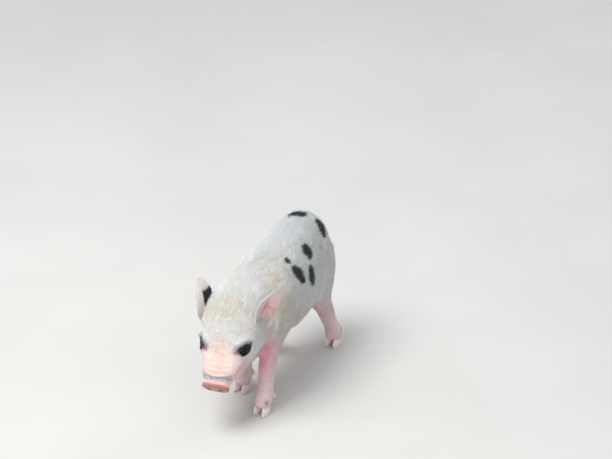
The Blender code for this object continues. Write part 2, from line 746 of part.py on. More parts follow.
def tail(torso):
    rows = between(TAIL, FEW_STEPS)
    rings = []
    for i, (forward, left, up, radius) in enumerate(rows):
        before, after = rows[max(i - 1, 0)], rows[min(i + 1, len(rows) - 1)]
        tangent = (place(*after[:3]) - place(*before[:3])).normalized()
        side = Vector((1, 0, 0))
        side = (side - tangent * side.dot(tangent)).normalized()
        centre, depth = place(forward, left, up), side.cross(tangent)
        rings.append(oval(centre, side, depth, radius, radius, radius)[::3])
    obj = loft("tail", rings)
    boolean(obj, [swollen(torso, "torso_clear", GAP)], "DIFFERENCE")
    return paint(obj, SKIN)


def centre_on_floor(objects):
    """Moves every piece so that the outline's middle is at x = y = 0 and the feet are on z = 0."""
    corners = [obj.matrix_world @ Vector(c) for obj in objects for c in obj.bound_box]
    low = Vector([min(c[i] for c in corners) for i in range(3)])
    high = Vector([max(c[i] for c in corners) for i in range(3)])
    shift = Vector((-(low.x + high.x) / 2, -(low.y + high.y) / 2, -low.z))
    for obj in objects:
        obj.data.transform(Matrix.Translation(shift))


def main():
    clear_scene()
    limbs = {}
    for side in SIDES:
        limbs["foreleg_" + side] = (foreleg_rings(FORE_STANCE[side]), FORE_STANCE[side], side)
        limbs["hindleg_" + side] = (hindleg_rings(HIND_STANCE[side]), HIND_STANCE[side], side)
    shapes = [trunk(), neck()]
    shapes.append(head_part("upper_head", UPPER_HEAD, UPPER_HEAD_FULLNESS))
    shapes.append(head_part("lower_jaw", LOWER_JAW, JAW_FULLNESS))
    shapes += [orbit(side) for side in SIDES]
    shapes += [limb(name, table, SIDES[side]) for name, (table, _, side) in limbs.items()]
    torso = fused(shapes)
    torso.name = "torso"

    for name, (table, stance, side) in limbs.items():
        sign = SIDES[side]
        leg = copy_of(torso, name)
        cutter = limb_cutter(table, sign)
        boolean(torso, [swollen(cutter, "clearance", GAP)], "DIFFERENCE")
        boolean(leg, [cutter], "INTERSECT")
        paint(leg, SKIN)
        foot_pieces(name, leg, stance, sign)

    neck_piece = split(torso, "neck", *plane_of(NECK_CUT))
    head = split(neck_piece, "head", *plane_of(HEAD_CUT))
    split_point = head_place(SNOUT_CUT, 0, 0)
    boolean(head, [slab("ahead", split_point, -HEAD_AXES.col[0])], "DIFFERENCE")
    boolean(head, [mouth_groove(head)], "DIFFERENCE")
    for side in SIDES:
        boolean(head, [lid_opening(side)], "DIFFERENCE")
        boolean(head, [socket(side)], "DIFFERENCE")
        eye(side)
        blade = ear(side)
        boolean(blade, [swollen(head, "head_clear", GAP)], "DIFFERENCE")
    snout_pad()
    tail(torso)
    for piece in (torso, neck_piece, head):
        paint(piece, SKIN)
    centre_on_floor(list(bpy.context.scene.objects))


main()
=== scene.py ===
"""Miniature piglet: skin, short coat, eyes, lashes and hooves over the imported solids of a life-size model."""

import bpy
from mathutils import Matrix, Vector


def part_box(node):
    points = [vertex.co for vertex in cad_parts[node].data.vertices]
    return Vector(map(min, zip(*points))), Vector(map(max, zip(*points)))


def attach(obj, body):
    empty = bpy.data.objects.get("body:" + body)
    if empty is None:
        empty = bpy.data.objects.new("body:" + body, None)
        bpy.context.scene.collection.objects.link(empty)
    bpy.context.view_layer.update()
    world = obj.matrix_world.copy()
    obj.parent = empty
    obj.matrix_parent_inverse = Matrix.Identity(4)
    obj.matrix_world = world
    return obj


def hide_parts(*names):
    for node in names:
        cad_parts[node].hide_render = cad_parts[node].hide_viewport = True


bl_info = {
    "name": "Miniature Piglet",
    "version": (1, 0, 0),
    "blender": (4, 5, 0),
    "location": "View3D > Sidebar > Piglet",
    "description": "Skin, short coat, eyes, lashes and hooves of a life-size miniature piglet",
    "category": "Object",
}

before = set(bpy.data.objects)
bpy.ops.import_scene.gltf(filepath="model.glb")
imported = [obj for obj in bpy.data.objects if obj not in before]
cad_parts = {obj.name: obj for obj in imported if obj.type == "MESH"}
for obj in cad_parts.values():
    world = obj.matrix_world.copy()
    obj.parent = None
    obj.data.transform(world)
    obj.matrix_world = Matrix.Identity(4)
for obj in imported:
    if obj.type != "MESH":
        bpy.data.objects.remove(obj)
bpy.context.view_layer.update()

import math

import bmesh
import bpy
import numpy as np
from bpy.props import FloatProperty, FloatVectorProperty, IntProperty, PointerProperty
from mathutils import Matrix, Vector
from mathutils.bvhtree import BVHTree

SEED = 7
SIDES = {"left": 1, "right": -1}
FEET = ("foreleg_left", "foreleg_right", "hindleg_left", "hindleg_right")
FLESH = ("torso", "neck", "head", "snout", "ear_left", "ear_right", "tail") + FEET

# Head frame, as in the solids: back along the face, left, and up off the face
HEAD_PITCH = math.radians(45)
HEAD_TURN = math.radians(10)
HEAD_TILT = math.radians(5)
SNOUT_RIM = Vector((0.002, -0.072, 0.068))
EYE_IN_HEAD = (0.052, 0.022, -0.0085)
EYE_LOOK = (-0.4, 0.78, 0.48)
EYE_RADIUS = 0.0088
LID_HALF_LENGTH = 0.0084
LID_HALF_HEIGHT = 0.0055
LID_SLANT = math.radians(36)
UPPER_LID_PULL = -0.04
LOWER_LID_PULL = -0.08
CORNER_PULL = 0.3
# Ears: root in the head frame, then the ways out of the cup and to the tip in the scene's axes
EAR_BASE = {"left": (0.087, 0.0395, -0.013), "right": (0.087, -0.0345, -0.011)}
EAR_OPEN = {"left": (0.85, -0.46, -0.2), "right": (-0.95, 0.05, -0.12)}
EAR_TIP = {"left": (0.34, 0.08, 0.93), "right": (-0.27, 0.08, 0.93)}
EAR_LENGTH = 0.046
EAR_HALF_WIDTH = 0.0155

# Mouth line in the head frame: the middle that its angles turn round, its heights and its corners' angle
MOUTH_MIDDLE = 0.045
MOUTH_FRONT_UP = -0.0272
MOUTH_CORNER_UP = -0.029
MOUTH_CORNER_ANGLE = 96

# Dark patches on the body: middle, way along, half length and half width. Places on the body are left, back
# and up of the point between the fore feet
PATCHES = (
    ((-0.0062, 0.1437, 0.191), (0.72, 0.69, -0.1), 0.014, 0.0082),
    ((0.02, 0.1575, 0.173), (0.6, -0.27, -0.75), 0.0145, 0.0105),
    ((0.0286, 0.1069, 0.166), (0.47, 0.23, -0.85), 0.0124, 0.0084),
    ((0.0215, 0.0695, 0.169), (0.3, 0.5, -0.8), 0.005, 0.0046),
    ((0.0336, 0.0762, 0.1508), (0.36, 0.46, -0.81), 0.0178, 0.0078),
    ((0.038, 0.1018, 0.138), (0.16, 0.05, -0.98), 0.016, 0.0084),
    ((0.0313, 0.1376, 0.1571), (0.3, 0.5, -0.8), 0.002, 0.0012),
    ((-0.0354, 0.1239, 0.172), (-0.5, 0.4, -0.76), 0.0115, 0.0075),
    ((-0.0444, 0.0799, 0.14), (-0.1, 0.62, -0.77), 0.0085, 0.006),
)
# Blue-grey marks on the body: middle, reach and strength
GREY_MARKS = (
    ((0.0313, 0.1376, 0.1571), 0.005, 0.42),
    ((0.0369, -0.0056, 0.0181), 0.003, 1.0),
    ((0.0366, 0.0899, 0.133), 0.014, 0.16),
    ((0.0016, 0.0579, 0.183), 0.013, 0.14),
    ((0.0016, 0.1279, 0.19), 0.04, 0.12),
    ((0.0286, 0.1279, 0.15), 0.03, 0.12),
)
# Redder skin on the body, and painted shade in the armpits, the groins and where the legs meet the trunk:
# middle, reach and strength
BLUSHES_AND_SHADE = (
    ((0.0216, 0.0099, 0.08), 0.019, 1.0),
    ((-0.0264, 0.0209, 0.08), 0.019, 1.0),
    ((0.019, -0.0001, 0.056), 0.015, 0.6),
    ((0.0176, 0.1259, 0.074), 0.021, 0.9),
    ((-0.0284, 0.1109, 0.075), 0.021, 1.0),
    ((0.0256, 0.1579, 0.062), 0.017, 0.4),
    ((0.0356, 0.0699, 0.092), 0.018, 0.4),
    ((0.0386, 0.0539, 0.103), 0.013, 0.45),
    ((0.0316, 0.1539, 0.11), 0.012, 0.25),
    ((-0.0044, 0.1879, 0.14), 0.01, 0.55),
)
# Cream-coloured hair on the body: middle, reach and strength
CREAM = (
    ((0.0256, 0.0339, 0.158), 0.024, 0.7),
    ((0.0386, 0.0339, 0.132), 0.024, 0.9),
    ((0.0366, 0.0259, 0.105), 0.02, 0.8),
    ((0.0356, 0.0709, 0.112), 0.026, 0.4),
    ((0.03, 0.15, 0.15), 0.026, 0.35),
    ((0.0, 0.05, 0.18), 0.024, 0.3),
    ((-0.0344, 0.0309, 0.15), 0.024, 0.7),
    ((-0.0366, 0.0259, 0.105), 0.02, 0.6),
)
# Tones of the face, the same on both sides: place in the head frame and reach, then how much redder, greyer
# and creamier
FACE_TONES = (
    ((0.02, 0.0, -0.001), 0.015, -0.02, 0.0, 0.6),
    ((0.04, 0.004, 0.002), 0.012, 0.02, 0.0, 0.5),
    ((0.064, 0.008, 0.008), 0.02, -0.16, 0.0, 0.0),
    ((0.024, 0.02, -0.012), 0.01, 0.36, 0.1, 0.1),
    ((0.033, 0.0255, -0.02), 0.01, 0.32, 0.1, 0.1),
    ((0.016, 0.019, -0.023), 0.008, 0.05, 0.4, 0.0),
    ((0.028, 0.023, -0.035), 0.011, 0.0, 0.38, 0.0),
    ((0.046, 0.033, -0.023), 0.007, -0.3, 0.0, 0.05),
    ((0.056, 0.037, -0.026), 0.008, -0.3, 0.0, 0.1),
    ((0.06, 0.033, -0.046), 0.016, 0.12, 0.06, 0.0),
    ((0.07, 0.0368, -0.011), 0.006, 0.0, 0.22, 0.0),
    ((0.079, 0.038, -0.006), 0.007, 0.0, 0.16, 0.0),
    ((0.082, 0.041, -0.021), 0.008, 0.1, 0.08, 0.0),
    ((0.09, 0.033, 0.001), 0.007, -0.1, 0.1, 0.0),
    ((0.108, 0.027, 0.006), 0.006, 0.0, 0.16, 0.0),
    ((0.09, 0.006, 0.011), 0.019, -0.06, 0.0, 0.75),
    ((0.084, 0.024, 0.005), 0.015, 0.0, 0.0, 0.7),
)
# Peach skin on the bridge of the nose: place in the head frame, reach and strength
PEACH = (((0.02, 0.0, -0.001), 0.016, 0.72), ((0.04, 0.0, 0.004), 0.013, 0.5))
# Creases of the face's skin, as points in the head frame on the left side with a depth and a half width
FACE_LINES = (
    (((0.041, 0.026, -0.015), (0.034, 0.024, -0.014), (0.027, 0.0215, -0.013),
      (0.021, 0.019, -0.012)), 0.00045, 0.0012),
    (((0.072, 0.034, 0.002), (0.066, 0.029, 0.006), (0.06, 0.022, 0.01)), 0.00025, 0.0012),
    (((0.08, 0.042, -0.018), (0.074, 0.04, -0.033), (0.064, 0.036, -0.044)), 0.0004, 0.0016),
)
# Folds of the body's skin: points left, back and up of the point between the fore feet, depth and half width
BODY_LINES = (
    (((0.03, 0.04, 0.082), (0.038, 0.05, 0.095), (0.04, 0.06, 0.11)), 0.0006, 0.0018),
    (((-0.03, 0.05, 0.085), (-0.038, 0.058, 0.098), (-0.04, 0.066, 0.112)), 0.0006, 0.0018),
    (((0.028, 0.12, 0.088), (0.037, 0.113, 0.104), (0.04, 0.109, 0.122)), 0.0007, 0.0022),
    (((-0.028, 0.11, 0.088), (-0.037, 0.104, 0.104), (-0.04, 0.101, 0.122)), 0.0007, 0.0022),
)
# Dark patch on the back of the right ear: from and to which share of its length, and how far to its front rim
EAR_PATCH = (-0.15, 0.64, 0.44)
# Ridges and valleys that run up inside the ear: height, place across it at the root, lean towards the tip,
# width, and the shares of its length where they end and where they start to fade
EAR_RIDGES = (
    (0.0013, 0.18, 0.22, 0.11, 0.82, 0.45),
    (0.001, -0.34, 0.0, 0.12, 0.66, 0.3),
    (-0.00055, 0.44, 0.3, 0.11, 0.85, 0.55),
    (-0.00045, -0.08, -0.12, 0.09, 0.72, 0.4),
    (-0.00045, -0.62, 0.0, 0.1, 0.6, 0.3),
)
# The ridge and valley that run across the ear: height, share of its length, and width
EAR_CROSS_RIDGES = ((0.0008, 0.5, 0.045), (-0.0004, 0.41, 0.035))
# How dark the front of the snout's disc is painted: its wet skin and painted shade where it faces down, away
# from the light
SNOUT_FRONT_SHADE = 0.74
# Creases across the bridge of the nose: distance from the snout's rim and depth
FACE_CREASES = ((0.0095, 0.00065), (0.015, 0.00042), (0.0212, 0.00033), (0.028, 0.00022), (0.0345, 0.00014))
# Nostrils, painted dark as the shade in their holes, in the head frame: how far left and up of its middle, and
# half sizes
NOSTRIL_LEFT, NOSTRIL_UP = 0.0068, -0.0128
NOSTRIL_HALF_WIDTH, NOSTRIL_HALF_HEIGHT = 0.0031, 0.0041
LIP_DEPTH = 0.0012
LIP_SWELL = 0.00042
TEAT_HEIGHT = 0.0013
TEAT_REACH = 0.0014
# Teats: back and sideways of the point between the fore feet
TEATS = tuple((0.052 + 0.0125 * i, side * (0.0105 + 0.0006 * i)) for i in range(6) for side in (1, -1))

# Each part: hairs to a square millimetre, their length, width and lift, the coat's depth as a share of the
# trunk's, how far the skin is smoothed, and how pink it is
PART_COLUMNS = ("hairs", "length", "width", "lift", "depth", "smooth", "pink")
PARTS = {
    "torso": (2.1, 0.007, 0.00023, 0.12, 1.0, 1.0, 0.02),
    "neck": (2.1, 0.007, 0.00023, 0.12, 1.0, 1.0, 0.03),
    "head": (2.6, 0.0052, 0.00019, 0.12, 0.62, 1.0, 0.08),
    "snout": (0.0, 0.0015, 0.00016, 0.1, 0.05, 0.14, 0.3),
    "ears": (1.9, 0.0036, 0.0002, 0.15, 0.18, 0.16, 0.3),
    "tail": (1.9, 0.0062, 0.00024, 0.2, 0.6, 0.35, 0.3),
    "forelegs": (2.6, 0.0032, 0.00018, 0.06, 0.6, 0.8, 0.3),
    "hindlegs": (2.6, 0.0034, 0.00018, 0.06, 0.6, 0.8, 0.3),
}
PART_OF = {name: name if name in PARTS else name.split("_")[0] + "s" for name in FLESH}
# Lie of the coat on the body and legs, before it is laid on the skin, and on the rump
LIE = {"torso": (0.0, 1.0, -0.32), "neck": (0.0, 0.92, 0.2), "tail": (0.0, 0.25, -1.0),
       "forelegs": (0.0, 0.3, -1.0), "hindlegs": (0.0, 0.42, -1.0)}
RUMP_LIE = (0.0, 0.45, -0.9)
# The skin's finest faces lie below this height and this far back on the face. The nodes grow by this much first
FINE_FEET = 0.022
FINE_FACE = 0.066
FLESH_GROWTH = 0.00022
# Where the hoof meets the skin: height at the foot's middle, rise towards the toe, and how far the horn runs up
CORONET_MIDDLE = 0.0095
CORONET_RISE = 0.24
CORONET_TOP = 0.014
HOOF_OVERLAP = 0.0012
HOOF_VOXEL = 0.00035
# The trunk's coat is split at this height into belly and back, and this far back into shoulder and rump
BELLY_TOP = 0.1
SHOULDER_REAR = 0.03
BRISTLE_SHARE = 0.03
ROOT_DEPTH = 0.0003
BAKE_MAP = "OFBake"
BAKE_PATCH = 0.0015
UNWRAP_FACES = 5000
WELD_DISTANCE = 1e-6

# Frame of the photograph, where the near fore foot stands in it, and that foot's place on the ground
PHOTO_SIZE = (612, 459)
FOOT_PIXEL = (262, 413)
FOOT_POINT = Vector((0.029, -0.003, 0.0))
SENSOR_WIDTH = 36
# Soft lights: place, size and share of the main light's power
LIGHTS = {
    "main_light": ((-0.5, -0.75, 2.0), 1.3, 1.0),
    "fill_light": ((1.6, -1.2, 0.9), 1.4, 0.14),
    "rim_light": ((0.5, 1.7, 1.3), 1.0, 0.1),
}
LIGHTS_AIM = (0, 0, 0.1)


def rgb(name, description, value):
    return FloatVectorProperty(name=name, description=description, default=value, subtype="COLOR", min=0, max=1)


def length(name, description, value):
    return FloatProperty(name=name, description=description, default=value, unit="LENGTH", precision=5)


def angle(name, description, degrees):
    return FloatProperty(name=name, description=description, default=math.radians(degrees), subtype="ANGLE")


def share_of(name, description, value):
    return FloatProperty(name=name, description=description, default=value, min=0.05, max=1, subtype="FACTOR")


class PigletSkin(bpy.types.PropertyGroup):
    """Sizes and colours of the skin."""

    voxel: length("Skin detail", "Size of the skin's smallest faces", 0.0008)
    faces: IntProperty(name="Faces", description="Triangles of the whole skin", default=196000)
    rounds: IntProperty(name="Smoothing", description="Rounds of smoothing over the skin", default=16)
    pale: rgb("Pale skin", "Colour of the skin under the body's coat", (0.86, 0.73, 0.68))
    # The flushed colour also paints shade in the armpits, the groins, where the legs meet the trunk and in the
    # ears' folds
    flushed: rgb("Flushed skin", "Colour of thin, bare or folded skin", (0.76, 0.35, 0.38))
    pad: rgb("Snout pad", "Colour of the bare disc of the snout", (0.82, 0.5, 0.4))
    # The blue-grey also paints the lashes' shade over the upper lids
    grey: rgb("Blue-grey skin", "Colour of faint grey marks and the snout's crease", (0.18, 0.2, 0.26))
    # The dark colour also paints the lashes' shade on the lids' rims
    dark: rgb("Dark patches", "Colour of the skin in the dark patches", (0.02, 0.022, 0.03))
    # This colour also paints shade on the snout's front, in the nostrils, in the ears' folds and under the
    # lashes
    moist_and_shade: rgb("Moist rims", "Colour of the lids' rims, the nostrils and the mouth", (0.19, 0.052, 0.04))


class PigletCoat(bpy.types.PropertyGroup):
    """Sizes and colours of the coat."""

    thickness: length("Coat depth", "Depth of the coat over the trunk's skin", 0.0009)
    density: share_of("Density", "Share of the coat's full count of hairs", 1.0)
    white: rgb("White hair", "Colour of most of the coat", (0.88, 0.93, 0.93))
    cream: rgb("Cream hair", "Colour of the crown and shoulders", (0.8, 0.67, 0.46))
    # The rosy hair also carries the painted shade in the armpits and groins
    rosy: rgb("Rosy hair", "Colour of sparse hair over flushed skin", (0.86, 0.6, 0.65))
    # The grey hair also paints the lashes' shade over the upper lids
    grey: rgb("Grey hair", "Colour of the hair on faint grey marks", (0.3, 0.37, 0.46))
    # The dark hair also paints the lashes' shade on the lids' rims and colours the dark lashes
    dark: rgb("Dark hair", "Colour of the hair on the dark patches", (0.022, 0.026, 0.038))


class PigletEyes(bpy.types.PropertyGroup):
    """Sizes and colours of the eyes and lashes."""

    pupil: angle("Pupil", "Half width of the pupil, seen from the eye's middle", 19)
    iris: angle("Iris", "Half width of the iris, seen from the eye's middle", 57)
    bulge: length("Cornea", "How far the clear front stands off the ball", 0.0004)
    iris_colour: rgb("Iris colour", "Colour of the iris", (0.01, 0.012, 0.022))
    streak_colour: rgb("Iris streaks", "Colour of the lighter streaks of the iris", (0.04, 0.03, 0.026))
    ring_colour: rgb("Iris rim", "Colour of the dark rim round the iris", (0.01, 0.01, 0.014))
    pupil_colour: rgb("Pupil colour", "Colour of the pupil", (0.003, 0.003, 0.004))
    white_colour: rgb("White of the eye", "Colour round the iris", (0.16, 0.07, 0.065))
    vein_colour: rgb("Veins", "Colour of the veins round the iris", (0.2, 0.06, 0.05))
    lash_length: length("Lash length", "Length of the longest lashes", 0.0072)
    lashes: IntProperty(name="Lashes", description="Lashes on each upper lid", default=60)
    # Dark lashes also stand in for the shade that the lashes cast over the eye
    dark_lashes: share_of("Dark lashes", "Share of the lashes that are dark", 0.6)


class PigletHooves(bpy.types.PropertyGroup):
    """Colours of the claws."""

    horn: rgb("Horn", "Colour of the claws' walls", (0.86, 0.73, 0.7))
    pale: rgb("Pale grain", "Colour of the palest grain in the horn", (0.92, 0.84, 0.8))
    worn: rgb("Worn horn", "Colour of the claws' lower rims", (0.58, 0.48, 0.4))
    ring_spacing: length("Growth rings", "Distance between growth rings of the horn", 0.0013)


class PigletStage(bpy.types.PropertyGroup):
    """The viewpoint, floor and lights."""

    azimuth: angle("Azimuth", "How far round to the left side the camera stands", 29)
    elevation: angle("Elevation", "How far the camera looks down", 28)
    distance: length("Distance", "Distance from the camera to the near fore foot", 2.6)
    lens: FloatProperty(name="Focal length", description="Focal length on a 36 mm wide picture, in millimetres",
                        default=128.47)
    floor_size: length("Floor", "Width of the pale floor", 14.0)
    floor_colour: rgb("Floor colour", "Colour of the pale floor", (0.55, 0.54, 0.52))
    wall_colour: rgb("Low light", "Colour of the room's light from the sides", (0.38, 0.39, 0.4))
    ceiling_colour: rgb("High light", "Colour of the room's light from above", (0.93, 0.97, 1.0))
    key_power: FloatProperty(name="Main light", description="Power of the soft main light", default=43.0,
                             unit="POWER")
    sky: FloatProperty(name="Room light", description="Strength of the light from all round", default=0.9)


# Ways and places on the head

def head_axes():
    """Columns: back along the face, left, and up off the face, in the scene's axes."""
    back = Vector((0, math.cos(HEAD_PITCH), math.sin(HEAD_PITCH)))
    up = Vector((0, -math.sin(HEAD_PITCH), math.cos(HEAD_PITCH)))
    tilt = Matrix.Rotation(-HEAD_TILT, 3, back)
    turn = Matrix.Rotation(HEAD_TURN, 3, "Z")
    return turn @ tilt @ Matrix((back, Vector((1, 0, 0)), up)).transposed()


def eye_middle(side):
    low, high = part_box("eye_" + side)
    return (low + high) / 2


HEAD_AXES = head_axes()
HEAD_ORIGIN = eye_middle("left") - HEAD_AXES @ Vector(EYE_IN_HEAD)
FEET_MIDDLE = HEAD_ORIGIN - SNOUT_RIM
AXES = np.array(HEAD_AXES)


def head_place(place):
    """A place given as back, left and up in the head frame, in the scene's axes."""
    return HEAD_ORIGIN + HEAD_AXES @ Vector(place)


def in_head(points):
    """Back, left and up of each point in the head frame."""
    return (points - np.array(HEAD_ORIGIN)) @ AXES


def on_body(place):
    """A place given as left, back and up of the point between the fore feet, in the scene's axes."""
    return np.array(place) + np.array(FEET_MIDDLE)


def in_ear(points, side):
    """Share of the way up the ear, and place across it, 1 at its front rim and -1 at its rear rim."""
    tip = unit(np.array(EAR_TIP[side]))
    opening = np.array(EAR_OPEN[side])
    front = unit(np.cross(tip, opening)) * -SIDES[side]
    offset = points - np.array(head_place(EAR_BASE[side]))
    share = offset @ tip / EAR_LENGTH
    width = np.maximum(np.sin(math.pi * np.clip(0.18 + 0.82 * share, 0.02, 0.98) ** 0.8), 0.05) ** 0.7
    return share, offset @ front / (EAR_HALF_WIDTH * width)


def eye_axes(side):
    """Along the slit towards its outer corner, towards the brow, and the way the eye looks."""
    sign = SIDES[side]
    look = (HEAD_AXES @ Vector((EYE_LOOK[0], EYE_LOOK[1] * sign, EYE_LOOK[2]))).normalized()
    slit = HEAD_AXES @ Vector((math.cos(LID_SLANT), 0, -math.sin(LID_SLANT)))
    slit = (slit - look * slit.dot(look)).normalized()
    return slit, look.cross(slit) * sign, look


def in_eye(points, side):
    """Along the slit, towards the brow and out of the eye, from the middle of the lids' opening."""
    slit, brow, look = eye_axes(side)
    middle = eye_middle(side) + look * EYE_RADIUS
    return (points - np.array(middle)) @ np.array((slit, brow, look)).T


# Numbers on meshes

def points_of(mesh, field="co"):
    values = np.empty(len(mesh.vertices) * 3)
    mesh.vertices.foreach_get(field, values)
    return values.reshape(-1, 3)


def normals_of(mesh):
    return points_of(mesh, "normal")


def move_points(mesh, points):
    mesh.vertices.foreach_set("co", points.ravel())
    mesh.update()


def edges_of(mesh):
    values = np.empty(len(mesh.edges) * 2, dtype=np.int32)
    mesh.edges.foreach_get("vertices", values)
    return values.reshape(-1, 2)


def corners_of(mesh):
    mesh.calc_loop_triangles()
    values = np.empty(len(mesh.loop_triangles) * 3, dtype=np.int32)
    mesh.loop_triangles.foreach_get("vertices", values)
    return values.reshape(-1, 3)


ATTRIBUTE_KINDS = {1: ("FLOAT", "value"), 3: ("FLOAT_VECTOR", "vector"), 4: ("FLOAT_COLOR", "color")}


def keep(mesh, name, values):
    """Stores a number, a way or a colour for each vertex, for the materials and the coat to read."""
    kind, field = ATTRIBUTE_KINDS[values.size // len(values)]
    attribute = mesh.attributes.new(name, kind, "POINT")
    attribute.data.foreach_set(field, np.ascontiguousarray(values, dtype=np.float32).ravel())


def kept(mesh, name, width=1):
    values = np.empty(len(mesh.vertices) * width, dtype=np.float32)
    mesh.attributes[name].data.foreach_get(ATTRIBUTE_KINDS[width][1], values)
    return values.astype(float).reshape(-1, width) if width > 1 else values.astype(float)


def relaxed(values, edges, rounds, share=0.5):
    """Values at the vertices, each drawn towards the mean of its neighbours, several rounds over."""
    flat = values.reshape(len(values), -1).astype(float)
    count = len(flat)
    first, second = edges[:, 0], edges[:, 1]
    degree = np.maximum(np.bincount(edges.ravel(), minlength=count), 1)[:, None]
    share = share[:, None] if isinstance(share, np.ndarray) else share
    for _ in range(rounds):
        total = np.stack([np.bincount(first, column[second], count) + np.bincount(second, column[first], count)
                          for column in flat.T], axis=1)
        flat += (total / degree - flat) * share
    return flat.reshape(values.shape)


def unit(ways):
    return ways / np.maximum(np.linalg.norm(ways, axis=-1, keepdims=True), 1e-12)


def bell(distance, reach):
    return np.exp(-((distance / reach) ** 2))


def ramp(values, low, high):
    """0 below low and 1 above high, smooth between; high may be the smaller of the two."""
    share = np.clip((values - low) / (high - low), 0, 1)
    return share * share * (3 - 2 * share)


def ripples(points, spacing, seed, waves=9):
    """A smooth random value at each point, about -1 to 1, with swells of about this spacing."""
    rng = np.random.default_rng(seed)
    ways = unit(rng.normal(size=(waves, 3))) * (2 * math.pi / spacing) * rng.uniform(0.6, 1.5, (waves, 1))
    shift = rng.uniform(0, 2 * math.pi, waves)
    return np.sin(points @ ways.T + shift).sum(axis=1) / math.sqrt(waves)


def away_from(points, middle):
    return np.linalg.norm(points - np.array(middle), axis=1)


def strongest(points, marks, place=on_body):
    """At each point the strongest of some soft round marks, each given by a middle, a reach and a strength."""
    values = np.zeros(len(points))
    for middle, reach, strength in marks:
        values = np.maximum(values, strength * bell(away_from(points, place(middle)), reach))
    return values


def on_parts(owners, *names):
    return np.isin(owners, [FLESH.index(name) for name in names])


def per_part(owners, column):
    """One column of the table of parts, at each point."""
    at = PART_COLUMNS.index(column)
    return np.array([PARTS[PART_OF[name]][at] for name in FLESH])[owners]


def in_patch(points, patch):
    """1 at the middle of a long round patch, 0 at its rim, below 0 outside it."""
    middle, way, half_length, half_width = patch
    way = unit(np.array(way, dtype=float))
    offset = points - on_body(middle)
    along = offset @ way
    across = np.linalg.norm(offset - np.outer(along, way), axis=1)
    return 1 - np.hypot(along / half_length, across / half_width)


# Objects

def object_from(mesh, name):
    obj = bpy.data.objects.new(name, mesh)
    bpy.context.scene.collection.objects.link(obj)
    return obj


def object_of(bm, name):
    mesh = bpy.data.meshes.new(name)
    bm.to_mesh(mesh)
    bm.free()
    mesh.shade_smooth()
    return object_from(mesh, name)


def add_modifier(obj, kind, **settings):
    modifier = obj.modifiers.new(kind.lower(), kind)
    for name, value in settings.items():
        setattr(modifier, name, value)


def apply_modifiers(obj):
    graph = bpy.context.evaluated_depsgraph_get()
    mesh = bpy.data.meshes.new_from_object(obj.evaluated_get(graph))
    obj.modifiers.clear()
    obj.data = mesh
    return obj


def joined_nodes(names, change):
    """One bmesh of several nodes' solids, each changed first."""
    joined = bmesh.new()
    for name in names:
        bm = bmesh.new()
        bm.from_mesh(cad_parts[name].data)
        bmesh.ops.remove_doubles(bm, verts=bm.verts, dist=WELD_DISTANCE)
        change(bm)
        mesh = bpy.data.meshes.new("node")
        bm.to_mesh(mesh)
        bm.free()
        joined.from_mesh(mesh)
        bpy.data.meshes.remove(mesh)
    return joined


def finish_piece(obj, slot, material, *nodes):
    obj.data.materials.clear()
    obj.data.materials.append(material)
    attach(obj, "root")
    if nodes:
        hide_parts(*nodes)
    return obj


# Materials

def feed(tree, node, inputs):
    """Sets each input of a node to a value, or links the output that feeds it."""
    for name, value in inputs.items():
        if isinstance(value, bpy.types.NodeSocket):
            tree.links.new(value, node.inputs[name])
        else:
            node.inputs[name].default_value = value


def add(tree, kind, inputs=None, **settings):
    """A new node with its settings and inputs."""
    made = tree.nodes.new(kind)
    for name, value in settings.items():
        setattr(made, name, value)
    feed(tree, made, inputs or {})
    return made


def mix(tree, share, first, second, blend="MIX"):
    """The colour output of a mix of two colours."""
    made = add(tree, "ShaderNodeMix", data_type="RGBA", blend_type=blend)
    feed(tree, made, {0: share, 6: first, 7: second})
    return made.outputs[2]


def channels(tree, value):
    """The three channels of a colour, each as a value."""
    return add(tree, "ShaderNodeSeparateColor", {"Color": value}).outputs


def spread(tree, value, low, high, to_low=0.0, to_high=1.0):
    """A value's range laid smoothly over another."""
    inputs = {"Value": value, "From Min": low, "From Max": high, "To Min": to_low, "To Max": to_high}
    return add(tree, "ShaderNodeMapRange", inputs, interpolation_type="SMOOTHSTEP").outputs[0]


def noise(tree, place, spacing, detail=2.0, stretch=None, turn=(0.0, 0.0, 0.0)):
    """Noise with features of about this spacing, in metres, longer along the turned axes by their stretch."""
    if stretch:
        place = add(tree, "ShaderNodeMapping", {"Vector": place, "Rotation": turn, "Scale": stretch},
                    vector_type="TEXTURE").outputs[0]
    made = add(tree, "ShaderNodeTexNoise", {"Vector": place, "Scale": 1 / spacing, "Detail": detail})
    return made.outputs["Fac"]


def math_node(tree, operation, first, second=0.0):
    return add(tree, "ShaderNodeMath", {0: first, 1: second}, operation=operation).outputs[0]


def times(tree, first, second):
    return math_node(tree, "MULTIPLY", first, second)


def plus(tree, first, second):
    return math_node(tree, "ADD", first, second)


def minus(tree, first, second):
    return math_node(tree, "SUBTRACT", first, second)


def mottled(tree, base, place, spacing, detail, *reach):
    """A colour made lighter and darker by noise whose range is laid over another."""
    shade = spread(tree, noise(tree, place, spacing, detail), *reach)
    shade = add(tree, "ShaderNodeCombineColor", {"Red": shade, "Green": shade, "Blue": shade}).outputs[0]
    return mix(tree, 1.0, base, shade, "MULTIPLY")


def attribute(tree, name, output="Fac"):
    return add(tree, "ShaderNodeAttribute", attribute_name=name).outputs[output]


def object_place(tree):
    return add(tree, "ShaderNodeTexCoord").outputs["Object"]


def colour(rgb):
    return (*rgb, 1.0)


